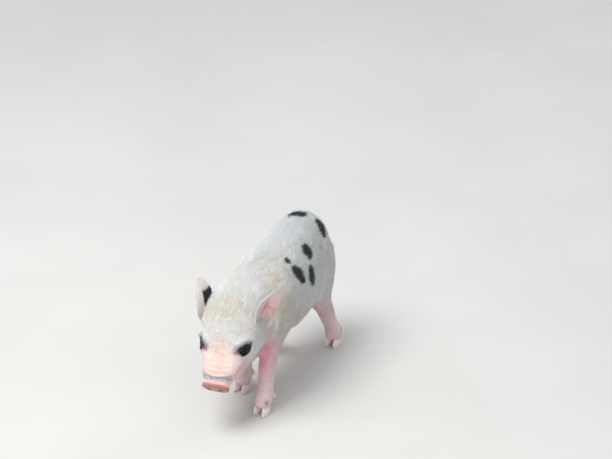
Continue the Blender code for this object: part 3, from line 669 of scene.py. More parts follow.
def fill_markings(tree, given, out):
    """Dark patches and the painted shade on the lids' rims, their edges frayed by the hair that grows across
    them.
    """
    frayed = times(tree, noise(tree, given["Place"], 0.0022, 3.0), given["Fray"])
    centred = minus(tree, frayed, times(tree, given["Fray"], 0.5))
    depth = plus(tree, given["Patch"], centred)
    tree.links.new(spread(tree, depth, 0.0, 0.16), out["Mask"])


def fill_tones(tree, given, out):
    """The skin's or coat's colour from where it is pale, flushed, bare or grey, with soft mottling; the flushed
    and grey tones also carry painted shade.
    """
    place = given["Place"]
    tones = channels(tree, given["Tones"])
    mottling = spread(tree, noise(tree, place, 0.007, 4.0), 0.3, 0.72, -1.0, 1.0)
    flush = plus(tree, tones[0], times(tree, mottling, given["Mottling"]))
    flush.node.use_clamp = True
    colour_now = mix(tree, flush, given["Pale"], given["Flushed"])
    colour_now = mix(tree, tones[1], colour_now, given["Pad"])
    grey = times(tree, tones[2], spread(tree, noise(tree, place, 0.0035), 0.25, 0.6, 0.6, 1.0))
    tree.links.new(mix(tree, grey, colour_now, given["Grey"]), out["Color"])


def fill_grain(tree, given, out):
    """Height of fine pores over broader dimples."""
    fine = times(tree, noise(tree, given["Place"], 0.00055, 3.0), given["Fine"])
    broad = times(tree, noise(tree, given["Place"], 0.0035), given["Broad"])
    tree.links.new(plus(tree, fine, broad), out["Height"])


# Node groups: the kinds of their named inputs, their output, and what fills them
GROUPS = {
    "Piglet markings and lid shade": ({"Patch": "Float", "Place": "Vector", "Fray": "Float"},
                        ("Mask", "Float"), fill_markings),
    "Piglet tones": ({"Tones": "Color", "Place": "Vector", "Pale": "Color", "Flushed": "Color", "Pad": "Color",
                      "Grey": "Color", "Mottling": "Float"}, ("Color", "Color"), fill_tones),
    "Skin grain": ({"Place": "Vector", "Fine": "Float", "Broad": "Float"}, ("Height", "Float"), fill_grain),
}


def make_group(name):
    """A node group with named sockets, built between its two ends."""
    inputs, (result, result_kind), fill = GROUPS[name]
    tree = bpy.data.node_groups.new(name, "ShaderNodeTree")
    for label, kind in inputs.items():
        tree.interface.new_socket(label, in_out="INPUT", socket_type="NodeSocket" + kind)
    tree.interface.new_socket(result, in_out="OUTPUT", socket_type="NodeSocket" + result_kind)
    fill(tree, tree.nodes.new("NodeGroupInput").outputs, tree.nodes.new("NodeGroupOutput").inputs)


def add_group(tree, name, inputs):
    """The output of a node that uses one of the groups, which is made at its first use."""
    if name not in bpy.data.node_groups:
        make_group(name)
    made = tree.nodes.new("ShaderNodeGroup")
    made.node_tree = bpy.data.node_groups[name]
    feed(tree, made, inputs)
    return made.outputs[0]


def patched(tree, base, place, dark):
    """A colour with the dark patches and the painted shade on the lids' rims over it."""
    mask = add_group(tree, "Piglet markings and lid shade", {"Patch": attribute(tree, "patch"), "Place": place, "Fray": 0.55})
    return mix(tree, mask, base, colour(dark))


def new_material(name):
    material = bpy.data.materials.new(name)
    material.use_nodes = True
    return material, material.node_tree, material.node_tree.nodes["Principled BSDF"]


def skin_material(given):
    material, tree, shader = new_material("piglet_skin")
    place = object_place(tree)
    tones, moist_and_shade = attribute(tree, "tones", "Color"), attribute(tree, "moist_and_shade")
    base = add_group(tree, "Piglet tones", {"Tones": tones, "Place": place, "Pale": colour(given.pale),
                                            "Flushed": colour(given.flushed), "Pad": colour(given.pad),
                                            "Grey": colour(given.grey), "Mottling": 0.12})
    base = mottled(tree, base, place, 0.0016, 3.0, 0.35, 0.7, 0.9, 1.08)
    # Dark wet rims and mouth, and painted shade on the snout's front, in the nostrils, in the ears' folds and
    # under the lashes
    base = mix(tree, times(tree, moist_and_shade, 0.88), base, colour(given.moist_and_shade))
    pad = channels(tree, tones)[1]
    rough = spread(tree, noise(tree, place, 0.004), 0.3, 0.7, 0.46, 0.6)
    rough = minus(tree, rough, times(tree, pad, 0.16))
    rough = minus(tree, rough, times(tree, moist_and_shade, 0.26))
    height = add_group(tree, "Skin grain", {"Place": place, "Fine": 0.55, "Broad": 1.0})
    pebbles = add(tree, "ShaderNodeTexVoronoi", {"Vector": place, "Scale": 900.0}).outputs["Distance"]
    pebbles = times(tree, times(tree, pebbles, pad), 1.6)
    height = plus(tree, height, pebbles)
    bump = add(tree, "ShaderNodeBump", {"Strength": 0.45, "Distance": 0.00035, "Height": height})
    feed(tree, shader, {"Base Color": patched(tree, base, place, given.dark), "Roughness": rough,
                        "Normal": bump.outputs[0], "Subsurface Weight": 0.22,
                        "Subsurface Radius": (1.0, 0.42, 0.28), "Subsurface Scale": 0.0035,
                        "Specular IOR Level": 0.42})
    return material


def coat_material(given, skin, name="piglet_coat"):
    material, tree, shader = new_material(name)
    place = attribute(tree, "root_place", "Vector")
    tones = attribute(tree, "tones", "Color")
    hair = add_group(tree, "Piglet tones", {"Tones": tones, "Place": place, "Pale": colour(given.white),
                                            "Flushed": colour(given.rosy), "Pad": colour(skin.pad),
                                            "Grey": colour(given.grey), "Mottling": 0.05})
    streaks = noise(tree, place, 0.003, 3.0, (1.0, 4.0, 1.0), (HEAD_PITCH, 0.0, 0.0))
    cream = times(tree, attribute(tree, "cream"), spread(tree, streaks, 0.34, 0.6))
    hair = patched(tree, mix(tree, cream, hair, colour(given.cream)), place, given.dark)
    flush = channels(tree, tones)[0]
    body = add(tree, "ShaderNodeVectorMath", {0: attribute(tree, "coat_normal", "Vector"), "Scale": 0.8},
               operation="SCALE").outputs[0]
    own = add(tree, "ShaderNodeNewGeometry").outputs["Normal"]
    both = add(tree, "ShaderNodeVectorMath", {0: body, 1: own}, operation="ADD").outputs[0]
    facing = add(tree, "ShaderNodeVectorMath", {0: both}, operation="NORMALIZE").outputs[0]
    feed(tree, shader, {"Base Color": mottled(tree, hair, place, 0.0012, 1.0, 0.2, 0.8, 0.86, 1.06),
                        "Roughness": spread(tree, flush, 0.0, 1.0, 0.62, 0.52), "Normal": facing,
                        "Specular IOR Level": 0.22, "Sheen Weight": 0.25})
    return material


def eye_material(given):
    material, tree, shader = new_material("piglet_eye")
    gaze = attribute(tree, "gaze")
    across = add(tree, "ShaderNodeCombineXYZ", {"X": attribute(tree, "iris_ray"),
                                                "Y": times(tree, gaze, 0.6)}).outputs[0]
    streaks = add(tree, "ShaderNodeTexNoise", {"Vector": across, "Scale": 9.0, "Detail": 3.0}).outputs["Fac"]
    iris = mix(tree, spread(tree, streaks, 0.35, 0.7), colour(given.iris_colour), colour(given.streak_colour))
    iris = mix(tree, spread(tree, gaze, given.iris * 0.82, given.iris), iris, colour(given.ring_colour))
    in_pupil = spread(tree, gaze, given.pupil * 1.1, given.pupil * 0.9)
    iris = mix(tree, in_pupil, iris, colour(given.pupil_colour))
    veins = spread(tree, noise(tree, object_place(tree), 0.0012, 4.0), 0.52, 0.62)
    white = mix(tree, veins, colour(given.white_colour), colour(given.vein_colour))
    feed(tree, shader, {"Base Color": mix(tree, spread(tree, gaze, given.iris, given.iris * 1.12), iris, white),
                        "Roughness": spread(tree, streaks, 0.0, 1.0, 0.03, 0.06), "Specular IOR Level": 0.16})
    return material


def horn_material(given):
    material, tree, shader = new_material("piglet_horn")
    place = object_place(tree)
    height = add(tree, "ShaderNodeSeparateXYZ", {"Vector": place}).outputs["Z"]
    worn = times(tree, spread(tree, height, 0.0065, 0.0004),
                     spread(tree, noise(tree, place, 0.003, 3.0), 0.3, 0.65))
    grain = noise(tree, place, 0.001, 2.0, (1.0, 1.0, 5.5))
    base = mix(tree, spread(tree, grain, 0.3, 0.7, 0.0, 0.35), colour(given.horn), colour(given.pale))
    waver = plus(tree, height, times(tree, noise(tree, place, 0.006), 0.0012))
    rings = math_node(tree, "SINE", times(tree, waver, 2 * math.pi / given.ring_spacing))
    pores = add_group(tree, "Skin grain", {"Place": place, "Fine": 0.4, "Broad": 0.3})
    relief = plus(tree, times(tree, rings, 0.25), pores)
    bump = add(tree, "ShaderNodeBump", {"Strength": 0.5, "Distance": 0.0002, "Height": relief})
    feed(tree, shader, {"Base Color": mix(tree, worn, base, colour(given.worn)),
                        "Roughness": spread(tree, grain, 0.3, 0.7, 0.36, 0.5), "Normal": bump.outputs[0],
                        "Subsurface Weight": 0.08, "Subsurface Scale": 0.002})
    return material


# Skin

def flesh_surface():
    """A tree of the flesh nodes' faces, and each face's node as its place in FLESH."""
    points, faces, owners = [], [], []
    for number, name in enumerate(FLESH):
        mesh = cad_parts[name].data
        start = len(points)
        points += [tuple(p) for p in points_of(mesh)]
        corners = corners_of(mesh) + start
        faces += [tuple(int(i) for i in c) for c in corners]
        owners += [number] * len(corners)
    return BVHTree.FromPolygons(points, faces), np.array(owners)


def owners_at(points, surface):
    """The flesh node nearest to each point, as its place in FLESH."""
    tree, owners = surface
    return np.array([owners[tree.find_nearest(p)[2]] for p in points])


def grow(bm):
    """Moves a node's faces out a little, so that the gaps between the nodes close."""
    bm.normal_update()
    for vertex in bm.verts:
        vertex.co += vertex.normal * (FLESH_GROWTH * min(vertex.calc_shell_factor(), 1.6))


def one_skin(given, surface):
    """The flesh nodes as one closed skin, finest on the face, inside the ears and on the feet."""
    skin = object_of(joined_nodes(FLESH, grow), "skin")
    add_modifier(skin, "REMESH", mode="VOXEL", voxel_size=given.voxel)
    add_modifier(skin, "TRIANGULATE", min_vertices=4)
    apply_modifiers(skin)
    points, normals = points_of(skin.data), normals_of(skin.data)
    owners = owners_at(points, surface)
    fine = points[:, 2] < FINE_FEET
    fine |= on_parts(owners, "head", "snout") & (in_head(points)[:, 0] < FINE_FACE)
    for side in SIDES:
        fine |= ear_inside(normals, owners, side) > 0.3
    zone = skin.vertex_groups.new(name="coarser")
    zone.add([int(i) for i in np.flatnonzero(~fine)], 1.0, "REPLACE")
    add_modifier(skin, "DECIMATE", ratio=given.faces / len(skin.data.polygons), vertex_group="coarser",
                 use_collapse_triangulate=True)
    apply_modifiers(skin)
    skin.vertex_groups.clear()
    return skin


def smoothing_share(points, owners):
    """How far each point may be smoothed: fully on the trunk, hardly at thin or sharp places."""
    share = per_part(owners, "smooth")
    for side in SIDES:
        share *= 1 - 0.86 * bell(away_from(points, eye_middle(side)), 0.0125)
    share *= 0.25 + 0.75 * ramp(points[:, 2], 0.014, 0.026)
    return share


def without_ledges(points, owners, edges, share):
    """The skin smoothed further where the tops of the legs run into the trunk."""
    into_trunk = relaxed(upper_leg(points, owners), edges, 24)
    join = np.clip(6 * into_trunk * (1 - into_trunk), 0, 1) * ramp(points[:, 2], 0.09, 0.112)
    near = join > 0.01
    close = edges[near[edges].any(axis=1)]
    return relaxed(points, close, 120, share * join * near)


def mouth_line(skin):
    """Points on the skin from the left corner of the mouth round its front to the right corner."""
    tree = BVHTree.FromObject(skin, bpy.context.evaluated_depsgraph_get())
    line = []
    for angle in np.linspace(MOUTH_CORNER_ANGLE, -MOUTH_CORNER_ANGLE, 121):
        share = (angle / MOUTH_CORNER_ANGLE) ** 2
        up = MOUTH_FRONT_UP + (MOUTH_CORNER_UP - MOUTH_FRONT_UP) * share
        turn = math.radians(angle)
        outward = HEAD_AXES @ Vector((-math.cos(turn), math.sin(turn), 0))
        middle = head_place((MOUTH_MIDDLE, 0, up))
        hit = tree.ray_cast(middle + outward * 0.08, -outward)[0]
        if hit:
            line.append(hit)
    return np.array(line)


def gap_to_line(points, line):
    """Distance from each point to the nearest point of a line, far where it isn't near its box."""
    gap = np.full(len(points), 1.0)
    near = np.all((points > line.min(axis=0) - 0.008) & (points < line.max(axis=0) + 0.008), axis=1)
    gap[near] = np.sqrt(((points[near][:, None, :] - line[None, :, :]) ** 2).sum(axis=2)).min(axis=1)
    return gap


def lid_reach(points, side):
    """How far out of the lids' opening each point is, 1 at its rim, whether it faces out, its place along the
    slit and towards the brow, and its distance from the inner corner."""
    along, brow, out = in_eye(points, side).T
    reach = np.hypot(along / LID_HALF_LENGTH, brow / LID_HALF_HEIGHT)
    corner = np.hypot(along + LID_HALF_LENGTH * 1.05, brow * 1.6)
    return reach, ramp(out, -0.011, -0.006), along, brow, corner


def closer_lids(points, lids):
    """The lids drawn towards each other over the eyeballs, most at their corners."""
    for side, (reach, facing, along, brow, _) in lids.items():
        middle = np.array(eye_middle(side))
        rise = np.array(eye_axes(side)[1])
        pull = (LOWER_LID_PULL + (UPPER_LID_PULL - LOWER_LID_PULL) * ramp(brow, -0.001, 0.001)) * facing
        pull += CORNER_PULL * np.clip(np.abs(along) / LID_HALF_LENGTH, 0, 1) ** 2 * facing
        pull *= ramp(reach, 2.2, 1.0)
        offset = points - middle
        far = np.linalg.norm(offset, axis=1, keepdims=True)
        points = middle + unit(offset - np.outer(brow * pull, rise)) * far
    return points


def line_through(marks, tree):
    """Points close together along a line on the skin near some marks."""
    marks = np.array(marks)
    steps = np.linspace(0, len(marks) - 1, 30 * (len(marks) - 1))
    dense = np.stack([np.interp(steps, np.arange(len(marks)), marks[:, k]) for k in range(3)], axis=1)
    return np.array([tree.find_nearest(Vector(point))[0] for point in dense])


def skin_folds(skin):
    """The face's and body's folds on both sides: a line on the skin, its depth and its half width."""
    tree = BVHTree.FromObject(skin, bpy.context.evaluated_depsgraph_get())
    folds = []
    for marks, depth, half in FACE_LINES:
        for sign in SIDES.values():
            places = [head_place((back, left * sign, up)) for back, left, up in marks]
            folds.append((line_through(places, tree), depth, half))
    for marks, depth, half in BODY_LINES:
        folds.append((line_through([on_body(mark) for mark in marks], tree), depth, half))
    return folds


def face_relief(points, line, lids):
    """How far the face's lids, creases and lips stand off the plain skin."""
    relief = np.zeros(len(points))
    back, left, up = in_head(points).T
    for reach, facing, along, brow, _ in lids.values():
        upper = ramp(brow, -0.0015, 0.0015)
        rise = 0.00042 * bell(reach - 1.14, 0.13)
        rise -= (0.00022 + 0.00024 * upper) * bell(reach - 1.55, 0.13)
        rise += 0.00028 * bell(reach - 1.85, 0.2) * upper
        rise -= 0.00022 * bell(reach - 2.15, 0.14) * (1 - upper) * ramp(along, 0.004, -0.004)
        relief += rise * facing
    on_top = ramp(up, -0.017, -0.009) * ramp(np.abs(left), 0.019, 0.009)
    for crease, depth in FACE_CREASES:
        bowed = crease + 12.0 * left**2
        relief -= depth * bell(back - bowed, 0.0011) * on_top
        relief += 0.45 * depth * bell(back - bowed - 0.0026, 0.0013) * on_top
    gap = gap_to_line(points, line)
    relief += LIP_SWELL * bell(gap - 0.0026, 0.0012) - LIP_DEPTH * bell(gap, 0.0009)
    return relief


def ear_relief(points, inner):
    """The ridges of the gristle inside the ears and the rolled rim round them."""
    relief = np.zeros(len(points))
    for side in SIDES:
        share, front = in_ear(points, side)
        rise = 0.0006 * bell(np.abs(front) - 0.86, 0.1) * ramp(share, 0.95, 0.75)
        for height, across, lean, width, end, fade in EAR_RIDGES:
            rise += height * bell(front - across + lean * share, width) * ramp(share, end, fade)
        for height, middle, width in EAR_CROSS_RIDGES:
            rise += height * bell(share - middle - 0.1 * front, width) * ramp(np.abs(front + 0.15), 0.75, 0.45)
        relief += rise * inner[side]
    return relief


def ear_folds(share, front, front_width, rear_width, cross_width):
    """The long front fold, the long rear fold and the cross fold inside an ear, each 1 along its middle."""
    return (bell(front - 0.4 + 0.3 * share, front_width) * ramp(share, 0.85, 0.5),
            bell(front + 0.12 - 0.12 * share, rear_width) * ramp(share, 0.72, 0.4),
            bell(share - 0.42 - 0.1 * front, cross_width) * ramp(front, 0.55, 0.25))


def body_relief(points, normals):
    """Broad soft swells over the trunk, teats under the belly and a narrower end to the legs over the claws."""
    _, back, up = (points - np.array(FEET_MIDDLE)).T
    trunk = ramp(up, 0.055, 0.085) * ramp(back, 0.006, 0.03)
    relief = 0.00024 * ripples(points, 0.024, 11) * trunk + 0.00008 * ripples(points, 0.008, 12)
    relief += 0.0003 * bell(points[:, 2] - 0.02, 0.0035) - 0.00045 * ramp(points[:, 2], 0.0165, 0.0105)
    return relief + TEAT_HEIGHT * near_teat(points, normals)


def near_teat(points, normals):
    """1 at the middle of each teat under the belly."""
    left, back, up = (points - np.array(FEET_MIDDLE)).T
    beneath = ramp(normals[:, 2], -0.3, -0.6) * ramp(up, 0.05, 0.06)
    near = np.zeros(len(points))
    for teat_back, teat_left in TEATS:
        near = np.maximum(near, bell(np.hypot(back - teat_back, left - teat_left), TEAT_REACH))
    return near * beneath


def fold_relief(points, folds):
    """Narrow valleys along the folds, with a soft swell behind each."""
    relief = np.zeros(len(points))
    for line, depth, half in folds:
        gap = gap_to_line(points, line)
        relief += depth * (0.4 * bell(gap - 2.4 * half, 1.2 * half) - bell(gap, half))
    return relief


def ear_inside(normals, owners, side):
    """1 on the inner face of an ear."""
    facing = normals @ unit(np.array(EAR_OPEN[side]))
    return on_parts(owners, "ear_" + side) * ramp(facing, 0.05, 0.35)


def ear_insides(points, normals, owners, edges):
    """For each ear, 1 on its inner face, fading out round its rim and root."""
    inner = {}
    for side in SIDES:
        share, _ = in_ear(points, side)
        inner[side] = relaxed(ear_inside(normals, owners, side) * ramp(share, 0.0, 0.2), edges, 8)
    return inner


def base_flush(points, owners, edges):
    """How pink each part of the body is, blended where one part runs into the next."""
    flush = per_part(owners, "pink") * (1 - on_parts(owners, *FEET) * ramp(points[:, 2], 0.06, 0.105))
    return relaxed(flush, edges, 160)


def tone_values(points, normals, owners, edges, line, folds, lids, inner):
    """How flushed, bare like the snout's pad, grey and cream each point is, as four columns; the flush also
    paints shade in the armpits, the groins and the ears, and the grey paints the lashes' shade over the upper
    lids.
    """
    flush = base_flush(points, owners, edges)
    back, left, up = in_head(points).T
    on_head = on_parts(owners, "head", "snout")
    flush += 0.08 * ramp(points[:, 2], 0.05, 0.02)
    flush += 0.16 * ramp(normals[:, 2], -0.35, -0.85) * ramp(points[:, 2], 0.05, 0.07)
    flush += 0.35 * near_teat(points, normals)
    # Redder skin, and painted shade in the armpits, the groins and where the legs meet the trunk
    for middle, reach, strength in BLUSHES_AND_SHADE:
        flush += strength * bell(away_from(points, on_body(middle)), reach)
    grey = 0.88 * bell(back - 0.0092 - 12.0 * left**2, 0.0042) * ramp(up, -0.016, -0.006) * on_head
    grey = np.maximum(grey, strongest(points, GREY_MARKS))
    cream = strongest(points, CREAM)
    near_face = ramp(back, 0.15, 0.125)
    folded = np.stack((back, np.abs(left), up), axis=1)
    for middle, reach, redder, greyer, creamier in FACE_TONES:
        near = bell(away_from(folded, middle), reach) * near_face
        flush += redder * near
        grey = np.maximum(grey, greyer * near)
        cream = np.maximum(cream, creamier * near)
    for reach, facing, along, brow, corner in lids.values():
        flush += 0.9 * bell(corner, 0.005) * facing
        flush -= 0.32 * facing * bell(reach - 1.55, 0.45) * ramp(along, -0.006, 0.0)
        cream *= 1 - 0.7 * facing * ramp(reach, 2.6, 1.8)
        # Painted shade of the lashes: blue-grey over the upper lid
        grey = np.maximum(grey, 0.75 * facing * bell(reach - 1.48, 0.26) * ramp(brow, -0.003, 0.001))
    for marks, _, half in folds:
        flush += 0.3 * bell(gap_to_line(points, marks), 1.8 * half)
    flush += 0.25 * bell(gap_to_line(points, line), 0.0022)
    flush += ear_pink_and_shade(points, owners, inner)
    pad = on_head * ramp(back, 0.0068, 0.005) * ramp(up, -0.03, -0.027)
    pad = np.maximum(pad, strongest(points, PEACH, head_place))
    return np.clip(np.stack((flush, pad, grey, cream), axis=1), 0, 1)


def ear_pink_and_shade(points, owners, inner):
    """Pink inside the ears, deeper in the folds and at the root, partly the ears' own colour and partly painted
    shade, and pale along their front and rims.
    """
    flush = np.zeros(len(points))
    for side in SIDES:
        share, front = in_ear(points, side)
        long_fold, rear_fold, cross_fold = ear_folds(share, front, 0.16, 0.14, 0.07)
        tone = 0.1 * ramp(front, 0.62, 0.35) + 0.5 * long_fold + 0.25 * rear_fold + 0.32 * cross_fold
        tone += 0.35 * ramp(share, 0.2, 0.0)
        tone -= 0.3 * ramp(np.abs(front), 0.78, 0.98)
        tone -= 0.4 * ramp(front, 0.46, 0.66)
        flush += tone * inner[side]
        flush -= 0.22 * on_parts(owners, "ear_" + side) * (1 - inner[side])
    return flush


def patch_and_lid_shade_values(points, owners, inner, lids):
    """How deep in a dark patch each point is, 0 at a patch's rim; the lids' rims are taken in as painted shade
    under the lashes.
    """
    depth = np.full(len(points), -1.0)
    for patch in PATCHES:
        depth = np.maximum(depth, in_patch(points, patch))
    # The lids' rims, dark as a patch: painted shade under the lashes, kept off the inner corner
    for reach, facing, _, brow, corner in lids.values():
        rim = 1.14 + 0.2 * ramp(brow, -0.002, 0.002)
        lid = ramp(reach, rim + 0.1, rim - 0.04) * facing * ramp(corner, 0.0032, 0.006)
        depth = np.maximum(depth, 1.4 * lid - 0.9)
    share, front = in_ear(points, "right")
    low, high, rim = EAR_PATCH
    on_back = np.minimum(np.minimum((share - low) / 0.25, (high - share) / 0.25), (rim - front) / 0.45)
    outer = on_parts(owners, "ear_right") & (inner["right"] < 0.5)
    return np.where(outer, np.maximum(depth, np.clip(on_back, -1, 1)), depth)


def moist_and_shade_values(points, line, lids, inner):
    """How dark and wet each point is: the lids' rims, the mouth and the snout's wet front and nostrils,
    darkened further with painted shade over the upper lids, on the snout's front, in the nostrils and in the
    ears' folds.
    """
    moist_and_shade = 0.7 * bell(gap_to_line(points, line), 0.0007)
    back, left, up = in_head(points).T
    # The front of the snout's disc, wet and darkened with painted shade
    moist_and_shade = np.maximum(moist_and_shade, SNOUT_FRONT_SHADE * ramp(back, 0.0044, 0.002) * ramp(up, -0.032, -0.028))
    for side, sign in SIDES.items():
        reach, facing, _, brow, _ = lids[side]
        # The lids' wet rims, reaching further over the upper lid as painted shade under the lashes
        rim = 0.24 * ramp(brow, -0.001, 0.002)
        moist_and_shade = np.maximum(moist_and_shade, facing * ramp(reach, 1.32 + rim, 1.16 + rim * 0.8))
        share, front = in_ear(points, side)
        # Painted shade in the ears' folds, in the colour of the wet rims
        long_fold, rear_fold, cross_fold = ear_folds(share, front, 0.12, 0.1, 0.045)
        fold = 0.3 * long_fold + 0.16 * cross_fold * ramp(front, -0.8, -0.5) + 0.12 * rear_fold
        moist_and_shade = np.maximum(moist_and_shade, fold * inner[side])
        # Painted shade in the nostrils' holes
        hole = np.hypot((left - NOSTRIL_LEFT * sign) / NOSTRIL_HALF_WIDTH,
                        (up - NOSTRIL_UP) / NOSTRIL_HALF_HEIGHT)
        moist_and_shade = np.maximum(moist_and_shade, ramp(hole, 1.2, 0.9) * ramp(back, 0.009, 0.007))
    return moist_and_shade


def hair_way(name):
    """The way the hair lies on a flesh node, before it is laid on the skin."""
    if name in ("head", "snout"):
        return AXES[:, 0]
    if name.startswith("ear_"):
        return unit(np.array(EAR_TIP[name.removeprefix("ear_")]))
    return unit(np.array(LIE[PART_OF[name]]))


def coat_ways(points, normals, owners, edges):
    """The way the hair lies at each point, along the skin."""
    ways = np.array([hair_way(name) for name in FLESH])[owners]
    upper = np.minimum(upper_leg(points, owners) * 1.6, 1)[:, None]
    ways = ways * (1 - upper) + hair_way("torso") * upper
    rump = ramp(points[:, 1], 0.075, 0.12) * np.maximum(on_parts(owners, "torso"), upper[:, 0])
    ways = ways * (1 - rump[:, None]) + np.array(RUMP_LIE) * rump[:, None]
    ways = relaxed(ways, edges, 110)
    ways -= normals * (ways * normals).sum(axis=1)[:, None]
    return unit(ways)


def upper_leg(points, owners):
    """1 where a leg runs up into the trunk, 0 on the lower leg and elsewhere."""
    return on_parts(owners, *FEET) * ramp(points[:, 2], 0.048, 0.112)


def coat_values(points, owners, edges, column, rounds):
    """One column of the table of parts at each point, where the legs' tops are like the trunk."""
    upper = upper_leg(points, owners)
    trunk = PARTS["torso"][PART_COLUMNS.index(column)]
    return relaxed(per_part(owners, column) * (1 - upper) + trunk * upper, edges, rounds)


def coat_lengths(points, owners, edges, inner):
    """Length of the hair: shortest on the snout, face and feet, longer at the tail's tip."""
    lengths = coat_values(points, owners, edges, "length", 40)
    back = in_head(points)[:, 0]
    on_head = ramp(back, 0.135, 0.1) * on_parts(owners, "head", "snout", "neck")
    lengths = lengths * (1 - on_head) + (0.0018 + 0.0052 * ramp(back, 0.008, 0.105)) * on_head
    lengths *= 1 - 0.3 * ramp(points[:, 2], 0.05, 0.025) + 0.3 * ramp(points[:, 2], 0.017, 0.013)
    for side in SIDES:
        front = in_ear(points, side)[1]
        lengths *= 1 + inner[side] * (0.7 * ramp(front, 0.3, 0.7) - 0.25)
    tail_tip = on_parts(owners, "tail") * ramp(points[:, 2], 0.132, 0.112)
    return lengths * (1 + 0.9 * tail_tip)


def coat_density(points, normals, owners, edges, line, lids, inner, flush):
    """Hairs to a square metre at each point, none on the pad, lid rims, lips and soles."""
    density = coat_values(points, owners, edges, "hairs", 30) * 1e6
    back = in_head(points)[:, 0]
    on_face = ramp(back, 0.0074, 0.017) * (0.75 + 0.25 * ramp(back, 0.015, 0.06))
    density *= np.where(on_parts(owners, "head", "snout"), on_face, 1.0)
    density *= ramp(gap_to_line(points, line), 0.0006, 0.002)
    density *= 1 - 0.45 * ramp(normals[:, 2], -0.45, -0.9)
    density *= 1 - ramp(normals[:, 2], -0.2, -0.5) * ramp(points[:, 2], 0.024, 0.02)
    density *= (1 - near_teat(points, normals)) * (1 - 0.55 * ramp(flush, 0.55, 0.95))
    for side in SIDES:
        front = in_ear(points, side)[1]
        density *= 1 - inner[side] * 0.75 * ramp(np.abs(front), 0.92, 0.6) * ramp(front, 0.66, 0.42)
        reach, facing, *_ = lids[side]
        density *= 1 - facing * ramp(reach, 1.42, 1.16)
        density *= ramp(away_from(points, eye_middle(side)), EYE_RADIUS + 0.0004, EYE_RADIUS + 0.001)
    return density * ramp(points[:, 2], 0.0085, 0.0105)


# Number of values to a vertex of all that a hair takes from the skin at its root
ROOT_VALUES = {"coat_way": 3, "coat_length": 1, "coat_width": 1, "coat_lift": 1,
               "tones": 4, "patch": 1, "cream": 1}
# What every hair carries for its material
HAIR_VALUES = ("root_place", "coat_normal", "tones", "patch", "cream")


class PIGLET_OT_skin(bpy.types.Operator):
    """One skin over the flesh, with lids, lips, creases and its markings"""

    bl_idname = "piglet.skin"
    bl_label = "Build the skin"

    def execute(self, context):
        given, coat = context.scene.piglet_skin, context.scene.piglet_coat
        surface = flesh_surface()
        skin = one_skin(given, surface)
        mesh = skin.data
        edges = edges_of(mesh)
        points = points_of(mesh)
        owners = owners_at(points, surface)
        share = relaxed(smoothing_share(points, owners), edges, 3)
        points = relaxed(points, edges, given.rounds, 0.55 * share)
        points = without_ledges(points, owners, edges, 0.55 * share)
        lids = {side: lid_reach(points, side) for side in SIDES}
        points = closer_lids(points, lids)
        move_points(mesh, points)
        line, folds = mouth_line(skin), skin_folds(skin)
        normals = normals_of(mesh)
        inner = ear_insides(points, normals, owners, edges)
        relief = face_relief(points, line, lids) + ear_relief(points, inner)
        relief += body_relief(points, normals) + fold_relief(points, folds)
        relief -= relaxed(per_part(owners, "depth") * coat.thickness, edges, 10)
        points += normals * relief[:, None]
        move_points(mesh, points)
        normals = relaxed(normals_of(mesh), edges, 2)
        tones = relaxed(tone_values(points, normals, owners, edges, line, folds, lids, inner), edges, 2)
        density = coat_density(points, normals, owners, edges, line, lids, inner, tones[:, 0])
        keep(mesh, "tones", tones)
        keep(mesh, "cream", tones[:, 3])
        keep(mesh, "patch", patch_and_lid_shade_values(points, owners, inner, lids))
        keep(mesh, "moist_and_shade", relaxed(moist_and_shade_values(points, line, lids, inner), edges, 1))
        keep(mesh, "coat_way", coat_ways(points, normals, owners, edges))
        keep(mesh, "coat_length", coat_lengths(points, owners, edges, inner))
        keep(mesh, "coat_width", coat_values(points, owners, edges, "width", 30))
        keep(mesh, "coat_lift", coat_values(points, owners, edges, "lift", 30))
        keep(mesh, "coat_density", relaxed(density, edges, 1))
        keep(mesh, "owner", owners)
        mesh.shade_smooth()
        finish_piece(skin, "skin", skin_material(given), *FLESH)
        return {"FINISHED"}


# Coat

TUFT_FACES = np.array(((0, 1, 2), (0, 2, 3), (0, 3, 1), (4, 2, 1), (4, 3, 2), (4, 1, 3)))
TUFT_MAP = np.array(((-1.0, 0.0), (0.0, -0.6), (0.0, 0.6), (0.2, 0.0), (1.0, 0.0))) * BAKE_PATCH


def tuft_points(roots, normals, ways, lengths, widths, lifts, sway):
    """Five points to a hair: sunk root, a three-cornered waist, and the tip."""
    across = np.cross(normals, ways)
    lean = across * (lengths * sway)[:, None]
    waist = roots + ways * (lengths * 0.44)[:, None] + normals * (lengths * lifts * 0.62)[:, None] + lean * 0.35
    tip = roots + ways * (lengths * 0.97)[:, None] + normals * (lengths * lifts * 0.78)[:, None] + lean
    half = (widths / 2)[:, None]
    sunk = roots - normals * ROOT_DEPTH
    return np.stack((sunk, waist + across * half, waist - across * half + normals * half * 0.2,
                     waist + normals * half * 1.1, tip), axis=1)


